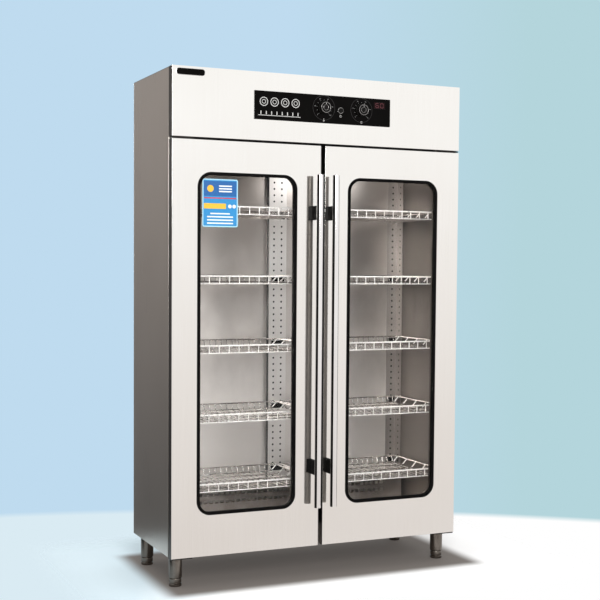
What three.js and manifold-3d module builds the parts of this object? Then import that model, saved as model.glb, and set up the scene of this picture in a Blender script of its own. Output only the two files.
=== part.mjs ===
// A two-door hot-air dish sterilizer cabinet with wire baskets, in millimetres.
// X runs to the right, the doors face -Y and Z is up. The origin is on the floor, at the middle of the
// whole cabinet's width and depth.

import * as THREE from 'three';
import { mergeVertices } from 'three/addons/utils/BufferGeometryUtils.js';
import Module from 'manifold-3d';

const wasm = await Module();
wasm.setup();

// Driving dimensions: the cabinet
const cabinetWidth = 1230;
const bodyHeight = 1830;
const footHeight = 120;
const carcassDepth = 445;
const wallThickness = 25;
const sheet = 1.5;
const baseSheet = 2;
const seatGap = 0.3;
const runningGap = 0.3;
const cutOverrun = 1;

// Driving dimensions: the fascia and its control panel
const fasciaHeight = 257;
const fasciaReturn = 22;
const panelWidth = 583;
const panelHeight = 108;
const panelThickness = 2.5;
const panelCornerRadius = 3;
const panelTopInset = 70.5;
const knobRadius = 24;
const knobSkirt = 3.5;
const knobGripRadius = 17;
const knobLength = 20;
const knobClearance = 0.8;
const knobShaftRadius = 3;
const knobRise = 4.5;
const timerKnobShare = 0.561;
const pointerWidth = 4;
const pointerProud = 1.2;
const buttonShare = 0.2487;
const buttonDrop = 1.5;
const buttonRadius = 9;
const buttonProud = 4;
const buttonStem = 12;
const buttonStemRadius = 4;
const buttonHead = 3;
const readoutShare = 0.837;
const readoutRise = 28;
const readoutWidth = 50;
const readoutHeight = 25;
const readoutLens = 1.8;
const moduleDepth = 60;
const moduleMargin = 34;
const moduleHeight = 90;
const boreDepth = 20;

// Driving dimensions: the doors
const fasciaGap = 9;
const doorGap = 19;
const doorThickness = 34;
const windowStile = 105.75;
const windowTopRail = 124;
const windowBottomRail = 162;
const windowRadius = 49;
const sealLip = 6;
const sealLipThickness = 2.5;
const sealWeb = 5;
const sealRearLip = 3;
const glassThickness = 5;
const glassBite = 4;
const gasketInset = 14;
const gasketWidth = 14;
const gasketThickness = 5.4;
const pivotInset = 12;
const pivotSetback = 17;
const pivotPinRadius = 5;
const pivotPinLength = 12;
const hingePlate = 4;
const hingePlateLength = 82;
const hingePlateInset = 2;
const hingeTab = 3;
const hingeTabLength = 56;
const hingeTabHeight = 11;
const cornerSteps = 4;

// Driving dimensions: the handles
const handleReach = 60;
const handleDiameter = 26;
const handleTopInset = 115;
const handleBottomInset = 160;
const handleSpacing = 68;
const blockHeight = 54;
const blockWidth = 20;
const blockEndDistance = 153;
const blockBite = 5;
const handleSides = 12;

// Driving dimensions: the inside
const floorHeight = 78;
const ceilingDrop = 45;
const frontReturn = 38;
const rearReturn = 18;
const headerRise = 80;
const topLip = 20;
const baseLip = 25;
const centrePostWidth = 80;
const centrePostDepth = 24;
const cornerPostLeg = 50;
const postSheet = 2;
const clipWidth = 12;
const clipThickness = 4;
const clipReach = 9;
const centreClipOffset = 17.3;

// Driving dimensions: the wire baskets
const basketLevels = 5;
const lowestBasketRise = 182;
const highestBasketDrop = 201;
const basketHeight = 34;
const basketWire = 5;
const basketCentreGap = 14;
const basketWallGap = 7;
const basketRearGap = 3;
const basketFrontGap = 13;
const basketBayCount = 8;
const basketSideBayCount = 2;

// Driving dimensions: the heater, the fan and the cable inlet
const coverDepth = 76;
const coverHeight = 112;
const coverEndGap = 22;
const slotBottom = 38;
const slotHeights = [15, 24];
const slotSpacing = 8;
const slotCount = 11;
const slotEndMargin = 84;
const slotGap = 16;
const heaterRadius = 5;
const heaterSpread = 40;
const heaterEndGap = 118;
const heaterRise = 30;
const heaterSides = 8;
const heaterBendSteps = 6;
const bracketThickness = 3;
const bracketFromEnd = 90;
const fanRadius = 75;
const fanHeight = 26;
const fanPlate = 2;
const fanBlades = 8;
const fanHubRadius = 12;
const fanDrop = 8;
const shaftRadius = 4;
const motorRadius = 42;
const motorHeight = 66;
const motorFlangeRadius = 56;
const motorFlange = 3;
const glandReach = 14;
const glandHexRadius = 15;
const glandThreadRadius = 10;
const glandBoreRadius = 5;
const glandThread = 12;
const glandFromSide = 120;
const glandFromTop = 130;

// Driving dimensions: the legs and feet
const legInsetX = 40;
const legInsetFront = 71;
const legInsetRear = 57;
const legRadius = 25.5;
const legPlateWidth = 58;
const legPlate = 3;
const legTopSolid = 27;
const footBodyHeight = 33;
const footRadius = 21;
const footFlare = 24;
const footFlareHeight = 9;
const footStemRadius = 8;
const roundSides = 16;

// Places worked out from the driving dimensions
const doorStandOff = doorThickness + gasketThickness + seatGap * 2;
const overallDepth = handleReach + doorStandOff + carcassDepth + glandReach;
const doorFrontY = -overallDepth / 2 + handleReach;
const carcassFrontY = doorFrontY + doorStandOff;
const backY = carcassFrontY + carcassDepth;
const innerBackY = backY - wallThickness;
const innerFrontY = carcassFrontY + sheet + seatGap;
const halfWidth = cabinetWidth / 2;
const innerHalf = halfWidth - wallThickness;
const underZ = footHeight;
const topZ = underZ + bodyHeight;
const fasciaBottomZ = topZ - fasciaHeight;
const doorTopZ = fasciaBottomZ - fasciaGap;
const floorZ = underZ + floorHeight;
const ceilingZ = fasciaBottomZ - ceilingDrop;
const doorWidth = halfWidth - doorGap / 2;
const windowWidth = doorWidth - windowStile * 2;
const windowHeight = doorTopZ - underZ - windowTopRail - windowBottomRail;
const handleLowZ = underZ + handleBottomInset;
const handleHighZ = doorTopZ - handleTopInset;
const panelCentreZ = topZ - panelTopInset - panelHeight / 2;
const panelRearY = doorFrontY - seatGap;
const panelFrontY = panelRearY - panelThickness;
const knobZ = panelCentreZ + knobRise;
const buttonZ = panelCentreZ - buttonDrop;
const timerKnobX = panelWidth / 2 * timerKnobShare;
const buttonX = panelWidth / 2 * buttonShare;
const readoutX = panelWidth / 2 * readoutShare;
const readoutZ = panelCentreZ + readoutRise;
const postFrontY = innerBackY - centrePostDepth;
const basketRearY = postFrontY - basketRearGap;
const basketFrontY = carcassFrontY + centrePostDepth + basketFrontGap;
const basketDepth = basketRearY - basketFrontY;
const basketLowestZ = floorZ + lowestBasketRise - basketHeight;
const basketHighestZ = ceilingZ - highestBasketDrop - basketHeight;
const basketPitch = (basketHighestZ - basketLowestZ) / (basketLevels - 1);
const fanY = (carcassFrontY + innerBackY) / 2;
const glandX = halfWidth - glandFromSide;
const glandZ = topZ - glandFromTop;
const postLowZ = floorZ + seatGap;
const postHighZ = ceilingZ - seatGap;
const coverRearY = postFrontY - seatGap;
const coverFrontY = coverRearY - coverDepth;
const coverLowZ = floorZ + seatGap;
const coverTopZ = coverLowZ + coverHeight;
const coverHalf = innerHalf - coverEndGap;
const slotSpread = (coverHalf - slotEndMargin) * 2;
const heaterLength = (coverHalf - heaterEndGap) * 2;
const bracketSpacing = heaterLength - bracketFromEnd * 2;
const heaterY = (coverFrontY + coverRearY) / 2;
const heaterZ = coverLowZ + heaterRise;
const legLowZ = underZ - footHeight + footBodyHeight;
const legBoreTopZ = underZ - legTopSolid;

const finishes = {
  polishedSteel: { color: 0xe6e2dc, roughness: 0.22, metalness: 1 },
  brushedSteel: { color: 0x9a928b, roughness: 0.4, metalness: 1 },
  innerSteel: { color: 0xb3aaa5, roughness: 0.35, metalness: 1 },
  darkSteel: { color: 0x6e6864, roughness: 0.45, metalness: 1 },
  brightWire: { color: 0xefe7e1, roughness: 0.2, metalness: 1 },
  barSteel: { color: 0xf0edea, roughness: 0.15, metalness: 1 },
  glossBlack: { color: 0x12100d, roughness: 0.12, metalness: 0 },
  blackRubber: { color: 0x0b0b0b, roughness: 0.7, metalness: 0 },
  blackPlastic: { color: 0x1a1918, roughness: 0.45, metalness: 0 },
  redLens: { color: 0x4a0d0d, roughness: 0.1, metalness: 0 },
  greyGasket: { color: 0x2c2b2a, roughness: 0.8, metalness: 0 },
  clearGlass: { color: 0xdfe6e4, roughness: 0.03, metalness: 0, transparent: true, opacity: 0.3 },
};

const cabinet = new THREE.Group();

function addPiece(name, geometry, finish) {
  const piece = new THREE.Mesh(geometry, new THREE.MeshStandardMaterial(finishes[finish]));
  piece.name = name;
  cabinet.add(piece);
  return piece;
}

// A closed geometry as a solid that can be joined and cut
function solidOf(geometry) {
  const bare = geometry.index ? geometry.toNonIndexed() : geometry.clone();
  bare.deleteAttribute('normal');
  bare.deleteAttribute('uv');
  const merged = mergeVertices(bare);
  const vertProperties = Float32Array.from(merged.attributes.position.array);
  const triVerts = Uint32Array.from(merged.index.array);
  return new wasm.Manifold(new wasm.Mesh({ numProp: 3, vertProperties, triVerts }));
}

function geometryOf(solid) {
  const mesh = solid.getMesh();
  const geometry = new THREE.BufferGeometry();
  geometry.setAttribute('position', new THREE.BufferAttribute(mesh.vertProperties, 3));
  geometry.setIndex(new THREE.BufferAttribute(mesh.triVerts, 1));
  geometry.computeVertexNormals();
  return geometry;
}

// The first solid with the others joined to it
function joined(first, ...others) {
  return others.reduce((whole, other) => whole.add(other), first);
}

function cutBy(first, ...cutters) {
  return cutters.reduce((rest, cutter) => rest.subtract(cutter), first);
}

// A box between two corners
function boxBetween(low, high) {
  const size = high.map((value, axis) => value - low[axis]);
  const geometry = new THREE.BoxGeometry(...size);
  geometry.translate(...high.map((value, axis) => (value + low[axis]) / 2));
  return geometry;
}

const boxSolid = (low, high) => solidOf(boxBetween(low, high));

// An outline drawn in X and Z, made a plate that runs back along Y
function plateAlongY(outline, frontY, thickness) {
  const geometry = new THREE.ExtrudeGeometry(outline, {
    depth: thickness, bevelEnabled: false, curveSegments: cornerSteps,
  });
  geometry.rotateX(Math.PI / 2);
  geometry.translate(0, frontY + thickness, 0);
  return geometry;
}

// An outline drawn in Y and Z, made a bar along X
function barAlongX(outline, lowX, highX) {
  const geometry = new THREE.ExtrudeGeometry(outline, {
    depth: highX - lowX, bevelEnabled: false, curveSegments: cornerSteps,
  });
  const turn = new THREE.Matrix4().makeBasis(
    new THREE.Vector3(0, 1, 0), new THREE.Vector3(0, 0, 1), new THREE.Vector3(1, 0, 0));
  geometry.applyMatrix4(turn);
  geometry.translate(lowX, 0, 0);
  return geometry;
}

// An outline drawn in X and Y, made a post along Z
function postAlongZ(outline, lowZ, highZ) {
  const geometry = new THREE.ExtrudeGeometry(outline, {
    depth: highZ - lowZ, bevelEnabled: false, curveSegments: cornerSteps,
  });
  geometry.translate(0, 0, lowZ);
  return geometry;
}

const outlineOf = (points) => new THREE.Shape(points.map(([u, v]) => new THREE.Vector2(u, v)));

function roundedRectangle(centreX, centreZ, width, height, radius) {
  const shape = new THREE.Shape();
  const left = centreX - width / 2;
  const right = centreX + width / 2;
  const low = centreZ - height / 2;
  const high = centreZ + height / 2;
  shape.moveTo(left + radius, low);
  shape.lineTo(right - radius, low);
  shape.absarc(right - radius, low + radius, radius, -Math.PI / 2, 0, false);
  shape.lineTo(right, high - radius);
  shape.absarc(right - radius, high - radius, radius, 0, Math.PI / 2, false);
  shape.lineTo(left + radius, high);
  shape.absarc(left + radius, high - radius, radius, Math.PI / 2, Math.PI, false);
  shape.lineTo(left, low + radius);
  shape.absarc(left + radius, low + radius, radius, Math.PI, Math.PI * 3 / 2, false);
  return shape;
}

// A round bar between two heights
function roundZ(x, y, radius, lowZ, highZ, sides = roundSides) {
  const geometry = new THREE.CylinderGeometry(radius, radius, highZ - lowZ, sides);
  geometry.rotateX(Math.PI / 2);
  geometry.translate(x, y, (lowZ + highZ) / 2);
  return geometry;
}

// A round bar between two depths
function roundY(x, z, radius, lowY, highY, sides = roundSides) {
  const geometry = new THREE.CylinderGeometry(radius, radius, highY - lowY, sides);
  geometry.translate(x, (lowY + highY) / 2, z);
  return geometry;
}

// A turned form about a vertical axis, from [radius, height] points that run upwards
function turnedZ(points, x, y, sides = roundSides) {
  const geometry = new THREE.LatheGeometry(points.map(([r, z]) => new THREE.Vector2(r, z)), sides);
  geometry.rotateX(Math.PI / 2);
  geometry.translate(x, y, 0);
  return geometry;
}

// The outer sheet of a side wall, folded inwards at its front and rear edges
function sidePanel(side) {
  const rearY = backY - sheet - seatGap;
  const outer = side * halfWidth;
  const inner = outer - side * sheet;
  const frontEdge = outer - side * frontReturn;
  const rearEdge = outer - side * rearReturn;
  const points = [
    [outer, carcassFrontY], [outer, rearY], [rearEdge, rearY], [rearEdge, rearY - sheet],
    [inner, rearY - sheet], [inner, carcassFrontY + sheet], [frontEdge, carcassFrontY + sheet],
    [frontEdge, carcassFrontY],
  ];
  return postAlongZ(outlineOf(points), underZ, topZ - sheet - seatGap);
}

// The roof sheet, with a lip folded down inside the front and the rear
function topPanel() {
  const rearY = backY;
  const lipZ = topZ - sheet - topLip;
  const lipFrontY = carcassFrontY + sheet + seatGap;
  const lipRearY = backY - sheet * 2 - seatGap * 2;
  const roof = boxSolid([-halfWidth, carcassFrontY, topZ - sheet], [halfWidth, rearY, topZ]);
  const lipHalf = halfWidth - frontReturn - seatGap;
  const frontLip = boxSolid([-lipHalf, lipFrontY, lipZ], [lipHalf, lipFrontY + sheet, topZ - sheet / 2]);
  const rearLip = boxSolid([-lipHalf, lipRearY - sheet, lipZ], [lipHalf, lipRearY, topZ - sheet / 2]);
  return geometryOf(joined(roof, frontLip, rearLip));
}

// The bottom tray, with its front and rear edges folded up
function basePan() {
  const half = halfWidth - sheet - seatGap;
  const frontY = innerFrontY;
  const rearY = backY - (sheet + seatGap) * 2;
  const points = [
    [frontY, underZ], [rearY, underZ], [rearY, underZ + baseLip],
    [rearY - baseSheet, underZ + baseLip], [rearY - baseSheet, underZ + baseSheet],
    [frontY + baseSheet, underZ + baseSheet], [frontY + baseSheet, underZ + baseLip],
    [frontY, underZ + baseLip],
  ];
  return barAlongX(outlineOf(points), -half, half);
}

function rearPanel() {
  const panel = boxSolid([-halfWidth, backY - sheet, underZ], [halfWidth, backY, topZ - sheet - seatGap]);
  const glandHole = solidOf(roundY(glandX, glandZ, glandThreadRadius + runningGap,
    backY - sheet - cutOverrun, backY + cutOverrun, roundSides));
  return geometryOf(cutBy(panel, glandHole));
}

// A cable inlet: a hexagonal head outside the rear panel, and a threaded barrel through it
function cableInlet() {
  const headSides = 6;
  const head = solidOf(roundY(glandX, glandZ, glandHexRadius, backY + seatGap, backY + glandReach, headSides));
  const barrel = solidOf(roundY(glandX, glandZ, glandThreadRadius, backY - glandThread,
    backY + glandReach / 2));
  const bore = solidOf(roundY(glandX, glandZ, glandBoreRadius, backY - glandThread - cutOverrun,
    backY + glandReach + cutOverrun));
  return geometryOf(cutBy(joined(head, barrel), bore));
}

addPiece('left_side_panel', sidePanel(-1), 'brushedSteel');
addPiece('right_side_panel', sidePanel(1), 'brushedSteel');
addPiece('top_panel', topPanel(), 'brushedSteel');
addPiece('base_pan', basePan(), 'darkSteel');
addPiece('rear_panel', rearPanel(), 'brushedSteel');
addPiece('cable_inlet', cableInlet(), 'blackPlastic');

// The inner side sheet stands behind the front return and stops at the rear liner
function sideLiner(side) {
  const inner = side * innerHalf;
  const outer = inner + side * sheet;
  return boxBetween(
    [Math.min(inner, outer), innerFrontY, underZ + baseLip + seatGap],
    [Math.max(inner, outer), innerBackY - seatGap, ceilingZ + headerRise / 2]);
}

function rearLiner() {
  return boxBetween([-innerHalf - sheet, innerBackY, underZ + baseLip + seatGap],
    [innerHalf + sheet, innerBackY + sheet, ceilingZ + headerRise / 2]);
}

// The folded front flange is narrowed at both ends, where the side panels' returns stand
function notchedAtReturns(solid, lowZ, highZ) {
  const notches = [-1, 1].map((side) => {
    const near = side * (halfWidth - frontReturn - seatGap);
    const far = side * halfWidth;
    return boxSolid([Math.min(near, far), carcassFrontY - cutOverrun, lowZ - cutOverrun],
      [Math.max(near, far), innerFrontY, highZ + cutOverrun]);
  });
  return cutBy(solid, ...notches);
}

// The compartment floor, with its front edge folded down to the base
function floorLiner() {
  const half = innerHalf - seatGap;
  const lowZ = underZ + baseSheet + seatGap;
  const points = [
    [carcassFrontY, lowZ], [carcassFrontY + sheet, lowZ], [carcassFrontY + sheet, floorZ - sheet],
    [innerBackY - seatGap, floorZ - sheet], [innerBackY - seatGap, floorZ], [carcassFrontY, floorZ],
  ];
  const floor = solidOf(barAlongX(outlineOf(points), -half, half));
  return geometryOf(notchedAtReturns(floor, lowZ, floorZ));
}

// The compartment ceiling, with its front edge folded up as the header, and the fan shaft's hole
function ceilingLiner() {
  const half = innerHalf - seatGap;
  const headerZ = ceilingZ + headerRise;
  const points = [
    [carcassFrontY, ceilingZ], [innerBackY - seatGap, ceilingZ],
    [innerBackY - seatGap, ceilingZ + sheet], [carcassFrontY + sheet, ceilingZ + sheet],
    [carcassFrontY + sheet, headerZ], [carcassFrontY, headerZ],
  ];
  const ceiling = solidOf(barAlongX(outlineOf(points), -half, half));
  const shaftHole = solidOf(roundZ(0, fanY, shaftRadius * 2, ceilingZ - cutOverrun,
    ceilingZ + sheet + cutOverrun, handleSides));
  return geometryOf(cutBy(notchedAtReturns(ceiling, ceilingZ, headerZ), shaftHole));
}

addPiece('left_liner', sideLiner(-1), 'innerSteel');
addPiece('right_liner', sideLiner(1), 'innerSteel');
addPiece('rear_liner', rearLiner(), 'innerSteel');
addPiece('floor_liner', floorLiner(), 'darkSteel');
addPiece('ceiling_liner', ceilingLiner(), 'innerSteel');

// A support clip at one basket corner: an arm from the post's face to under the basket's wires
function clipSolid(x, postY, armY, level) {
  const underBasketZ = basketBottomZ(level) - seatGap;
  const towards = Math.sign(armY - postY);
  const rootY = postY - towards * postSheet / 2;
  return boxSolid([x - clipWidth / 2, Math.min(rootY, armY), underBasketZ - clipThickness],
    [x + clipWidth / 2, Math.max(rootY, armY), underBasketZ]);
}

const basketBottomZ = (level) => basketLowestZ + basketPitch * level;

const levels = Array.from({ length: basketLevels }, (_, level) => level);

// A post with a clip at each basket level, at each of the given places across it
function postWithClips(post, clipXs, postY, armY) {
  const clips = levels.flatMap((level) => clipXs.map((x) => clipSolid(x, postY, armY, level)));
  return geometryOf(joined(solidOf(post), ...clips));
}

// The centre rear post is a channel whose open side lies against the rear liner
function centreRearPost() {
  const half = centrePostWidth / 2;
  const backEdgeY = innerBackY - seatGap;
  const points = [
    [-half, postFrontY], [half, postFrontY], [half, backEdgeY], [half - postSheet, backEdgeY],
    [half - postSheet, postFrontY + postSheet], [-half + postSheet, postFrontY + postSheet],
    [-half + postSheet, backEdgeY], [-half, backEdgeY],
  ];
  const post = postAlongZ(outlineOf(points), postLowZ, postHighZ);
  return postWithClips(post, [-centreClipOffset, centreClipOffset], postFrontY, basketRearY - clipReach);
}

// The centre front post is a tube behind the doors' meeting edges, and carries both inner gaskets
function centreFrontPost() {
  const half = centrePostWidth / 2;
  const rearY = carcassFrontY + centrePostDepth;
  const outline = outlineOf([
    [-half, carcassFrontY], [half, carcassFrontY], [half, rearY], [-half, rearY],
  ]);
  outline.holes.push(outlineOf([
    [-half + postSheet, carcassFrontY + postSheet], [half - postSheet, carcassFrontY + postSheet],
    [half - postSheet, rearY - postSheet], [-half + postSheet, rearY - postSheet],
  ]));
  const post = postAlongZ(outline, postLowZ, postHighZ);
  return postWithClips(post, [-centreClipOffset, centreClipOffset], rearY, basketFrontY + clipReach);
}

// A corner post is an angle with one leg across the wall at its end and one along the side liner
function cornerPost(side, atRear) {
  const away = atRear ? -1 : 1;
  const wallY = atRear ? innerBackY - seatGap : innerFrontY + seatGap;
  const wallX = side * (innerHalf - seatGap);
  const faceY = wallY + away * postSheet;
  const faceX = wallX - side * postSheet;
  const endX = wallX - side * cornerPostLeg;
  const endY = wallY + away * cornerPostLeg;
  const points = [
    [wallX, wallY], [endX, wallY], [endX, faceY], [faceX, faceY], [faceX, endY], [wallX, endY],
  ];
  const armY = atRear ? basketRearY - clipReach : basketFrontY + clipReach;
  const post = postAlongZ(outlineOf(points), postLowZ, postHighZ);
  return postWithClips(post, [side * (innerHalf - cornerPostLeg / 2)], faceY, armY);
}

addPiece('centre_rear_post', centreRearPost(), 'innerSteel');
addPiece('centre_front_post', centreFrontPost(), 'innerSteel');
addPiece('left_rear_post', cornerPost(-1, true), 'innerSteel');
addPiece('right_rear_post', cornerPost(1, true), 'innerSteel');
addPiece('left_front_post', cornerPost(-1, false), 'innerSteel');
addPiece('right_front_post', cornerPost(1, false), 'innerSteel');

// A shallow tray of wires: a rim and a foot wire all round, joined by wires that run up each wall
function basket(side, level) {
  const nearX = side * basketCentreGap / 2;
  const farX = side * (innerHalf - basketWallGap);
  const lowX = Math.min(nearX, farX);
  const highX = Math.max(nearX, farX);
  const lowZ = basketBottomZ(level);
  const highZ = lowZ + basketHeight;
  const wire = basketWire;
  const tray = boxSolid([lowX, basketFrontY, lowZ], [highX, basketRearY, highZ]);
  const inside = boxSolid([lowX + wire, basketFrontY + wire, lowZ + wire],
    [highX - wire, basketRearY - wire, highZ + cutOverrun]);
  const pitch = (highX - lowX - wire) / basketBayCount;
  const sidePitch = (basketDepth - wire) / basketSideBayCount;
  const floorGaps = [];
  for (let gap = 0; gap < basketBayCount; gap += 1) {
    const startX = lowX + wire + gap * pitch;
    const endX = startX + pitch - wire;
    floorGaps.push(boxSolid([startX, basketFrontY + wire, lowZ - cutOverrun],
      [endX, basketRearY - wire, lowZ + wire + cutOverrun]));
    floorGaps.push(boxSolid([startX, basketFrontY - cutOverrun, lowZ + wire],
      [endX, basketRearY + cutOverrun, highZ - wire]));
  }
  for (let gap = 0; gap < basketSideBayCount; gap += 1) {
    const startY = basketFrontY + wire + gap * sidePitch;
    floorGaps.push(boxSolid([lowX - cutOverrun, startY, lowZ + wire],
      [highX + cutOverrun, startY + sidePitch - wire, highZ - wire]));
  }
  return geometryOf(cutBy(tray, inside, ...floorGaps));
}

for (const level of levels) {
  addPiece(`left_basket_${level + 1}`, basket(-1, level), 'brightWire');
  addPiece(`right_basket_${level + 1}`, basket(1, level), 'brightWire');
}

// The slotted cover stands on the floor before the rear posts, with the heater's brackets inside it
function heaterCover() {
  const points = [
    [coverFrontY, coverLowZ], [coverFrontY + sheet, coverLowZ],
    [coverFrontY + sheet, coverTopZ - sheet], [coverRearY, coverTopZ - sheet],
    [coverRearY, coverTopZ], [coverFrontY, coverTopZ],
  ];
  const cover = solidOf(barAlongX(outlineOf(points), -coverHalf, coverHalf));
  const pitch = slotSpread / slotCount;
  const slots = [];
  let rowZ = coverLowZ + slotBottom;
  for (const height of slotHeights) {
    for (let slot = 0; slot < slotCount; slot += 1) {
      const startX = -slotSpread / 2 + slot * pitch + slotGap / 2;
      slots.push(boxSolid([startX, coverFrontY - cutOverrun, rowZ],
        [startX + pitch - slotGap, coverFrontY + sheet + cutOverrun, rowZ + height]));
    }
    rowZ += height + slotSpacing;
  }
  const brackets = [-1, 1].map((side) => heaterBracket(side * bracketSpacing / 2));
  return geometryOf(joined(cutBy(cover, ...slots), ...brackets));
}

// A bracket hangs from the cover's top and holds both legs of the heater in one slotted plate
function heaterBracket(x) {
  const bracketHoleRadius = (heaterRadius + seatGap) / Math.cos(Math.PI / heaterSides);
  const lowZ = heaterZ - bracketHoleRadius - bracketThickness;
  const plate = boxSolid([x - bracketThickness / 2, coverFrontY + sheet / 2, lowZ],
    [x + bracketThickness / 2, coverRearY - sheet, coverTopZ - sheet / 2]);
  const holes = [-1, 1].map((row) => {
    const hole = new THREE.CylinderGeometry(bracketHoleRadius, bracketHoleRadius,
      bracketThickness * 2, heaterSides);
    hole.rotateZ(Math.PI / 2);
    hole.translate(x, heaterY + row * heaterSpread / 2, heaterZ);
    return solidOf(hole);
  });
  return cutBy(plate, ...holes);
}

// A hairpin heating element: two straight legs joined by a half circle at one end
function heaterElement() {
  const bendRadius = heaterSpread / 2;
  const straightEnd = heaterLength / 2 - bendRadius;
  const path = new THREE.CurvePath();
  const from = new THREE.Vector3(-heaterLength / 2, heaterY - bendRadius, heaterZ);
  const bendStart = new THREE.Vector3(straightEnd, heaterY - bendRadius, heaterZ);
  path.add(new THREE.LineCurve3(from, bendStart));
  let previous = bendStart;
  for (let step = 1; step <= heaterBendSteps; step += 1) {
    const angle = -Math.PI / 2 + Math.PI * step / heaterBendSteps;
    const next = new THREE.Vector3(straightEnd + bendRadius * Math.cos(angle),
      heaterY + bendRadius * Math.sin(angle), heaterZ);
    path.add(new THREE.LineCurve3(previous, next));
    previous = next;
  }
  const back = new THREE.Vector3(-heaterLength / 2, heaterY + bendRadius, heaterZ);
  path.add(new THREE.LineCurve3(previous, back));
  return sweptRound(path, heaterRadius, heaterSides);
}

// A round bar of few sides, ringed at each corner of a path of straight pieces that lies level
function sweptRound(path, radius, sides) {
  const corners = path.curves.map((curve) => curve.v1);
  corners.push(path.curves[path.curves.length - 1].v2);
  const up = new THREE.Vector3(0, 0, 1);
  const positions = [];
  corners.forEach((corner, index) => {
    const before = corners[Math.max(index - 1, 0)];
    const after = corners[Math.min(index + 1, corners.length - 1)];
    const along = after.clone().sub(before).normalize();
    const across = new THREE.Vector3().crossVectors(along, up);
    for (let step = 0; step < sides; step += 1) {
      const angle = 2 * Math.PI * (step + 1 / 2) / sides;
      const point = corner.clone()
        .addScaledVector(across, radius * Math.cos(angle))
        .addScaledVector(up, radius * Math.sin(angle));
      positions.push(point.x, point.y, point.z);
    }
  });
  const indices = [];
  for (let ring = 0; ring < corners.length - 1; ring += 1) {
    for (let step = 0; step < sides; step += 1) {
      const next = (step + 1) % sides;
      const a = ring * sides + step;
      const b = ring * sides + next;
      indices.push(a, a + sides, b, b, a + sides, b + sides);
    }
  }
  const last = (corners.length - 1) * sides;
  for (let step = 1; step < sides - 1; step += 1) {
    indices.push(0, step, step + 1);
    indices.push(last, last + step + 1, last + step);
  }
  const geometry = new THREE.BufferGeometry();
  geometry.setAttribute('position', new THREE.Float32BufferAttribute(positions, 3));
  geometry.setIndex(indices);
  return geometry;
}

addPiece('heater_cover', heaterCover(), 'innerSteel');
addPiece('heater_element', heaterElement(), 'darkSteel');

// The fan hangs under the ceiling on a shaft that runs up into its motor
function fanMotor() {
  const lowZ = ceilingZ + sheet + seatGap;
  const bore = shaftRadius + runningGap;
  return turnedZ([
    [bore, lowZ], [motorFlangeRadius, lowZ], [motorFlangeRadius, lowZ + motorFlange],
    [motorRadius, lowZ + motorFlange], [motorRadius, lowZ + motorHeight], [0, lowZ + motorHeight],
    [0, lowZ + motorHeight / 2], [bore, lowZ + motorHeight / 2], [bore, lowZ],
  ], 0, fanY);
}

function fanImpeller() {
  const plateZ = ceilingZ - fanDrop - fanPlate;
  const lowZ = plateZ - fanHeight;
  const shaftTopZ = ceilingZ + sheet + motorHeight / 2 - cutOverrun;
  const plate = solidOf(roundZ(0, fanY, fanRadius, plateZ, plateZ + fanPlate, fanBlades * 2));
  const hub = solidOf(roundZ(0, fanY, fanHubRadius, lowZ, plateZ + fanPlate / 2, fanBlades));
  const shaft = solidOf(roundZ(0, fanY, shaftRadius, plateZ, shaftTopZ, handleSides));
  const blades = [];
  for (let blade = 0; blade < fanBlades; blade += 1) {
    const vane = boxBetween([fanHubRadius / 2, -fanPlate / 2, lowZ],
      [fanRadius - fanPlate * 2, fanPlate / 2, plateZ + fanPlate / 2]);
    vane.rotateZ(2 * Math.PI * (blade + 1 / 2) / fanBlades);
    vane.translate(0, fanY, 0);
    blades.push(solidOf(vane));
  }
  return geometryOf(joined(plate, hub, shaft, ...blades));
}

addPiece('fan_motor', fanMotor(), 'darkSteel');
addPiece('fan_impeller', fanImpeller(), 'innerSteel');

const knobXs = { temperature: 0, timer: timerKnobX };

// Holes for both knob shafts and the button's stem, through whatever lies between two depths
function controlHoles(frontY, rearY, clearance) {
  const shafts = Object.values(knobXs).map((x) =>
    solidOf(roundY(x, knobZ, knobShaftRadius + clearance, frontY, rearY, handleSides)));
  const stem = solidOf(roundY(buttonX, buttonZ, buttonStemRadius + clearance, frontY, rearY,
    handleSides));
  return [...shafts, stem];
}

// The fascia is a shell, open to the rear, whose bottom return closes on the header
function fascia() {
  const rearY = carcassFrontY - seatGap;
  const shell = boxSolid([-halfWidth, doorFrontY, fasciaBottomZ], [halfWidth, rearY, topZ]);
  const hollow = boxSolid([-halfWidth + sheet, doorFrontY + sheet, fasciaBottomZ + sheet],
    [halfWidth - sheet, rearY - sheet, topZ - sheet]);
  const opening = boxSolid([-halfWidth + fasciaReturn, rearY - sheet - cutOverrun,
    fasciaBottomZ + fasciaReturn], [halfWidth - fasciaReturn, rearY + cutOverrun, topZ - fasciaReturn]);
  const holes = controlHoles(doorFrontY - cutOverrun, doorFrontY + sheet + cutOverrun, runningGap);
  return geometryOf(cutBy(shell, hollow, opening, ...holes));
}

function controlPanel() {
  const outline = roundedRectangle(0, panelCentreZ, panelWidth, panelHeight, panelCornerRadius);
  const halfReadout = [readoutWidth / 2 + seatGap, readoutHeight / 2 + seatGap];
  const window = boxSolid(
    [readoutX - halfReadout[0], panelFrontY - cutOverrun, readoutZ - halfReadout[1]],
    [readoutX + halfReadout[0], panelRearY + cutOverrun, readoutZ + halfReadout[1]]);
  const holes = controlHoles(panelFrontY - cutOverrun, panelRearY + cutOverrun, runningGap);
  return geometryOf(cutBy(solidOf(plateAlongY(outline, panelFrontY, panelThickness)), window, ...holes));
}

function displayWindow() {
  return boxBetween(
    [readoutX - readoutWidth / 2, panelRearY - readoutLens, readoutZ - readoutHeight / 2],
    [readoutX + readoutWidth / 2, panelRearY, readoutZ + readoutHeight / 2]);
}

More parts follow.
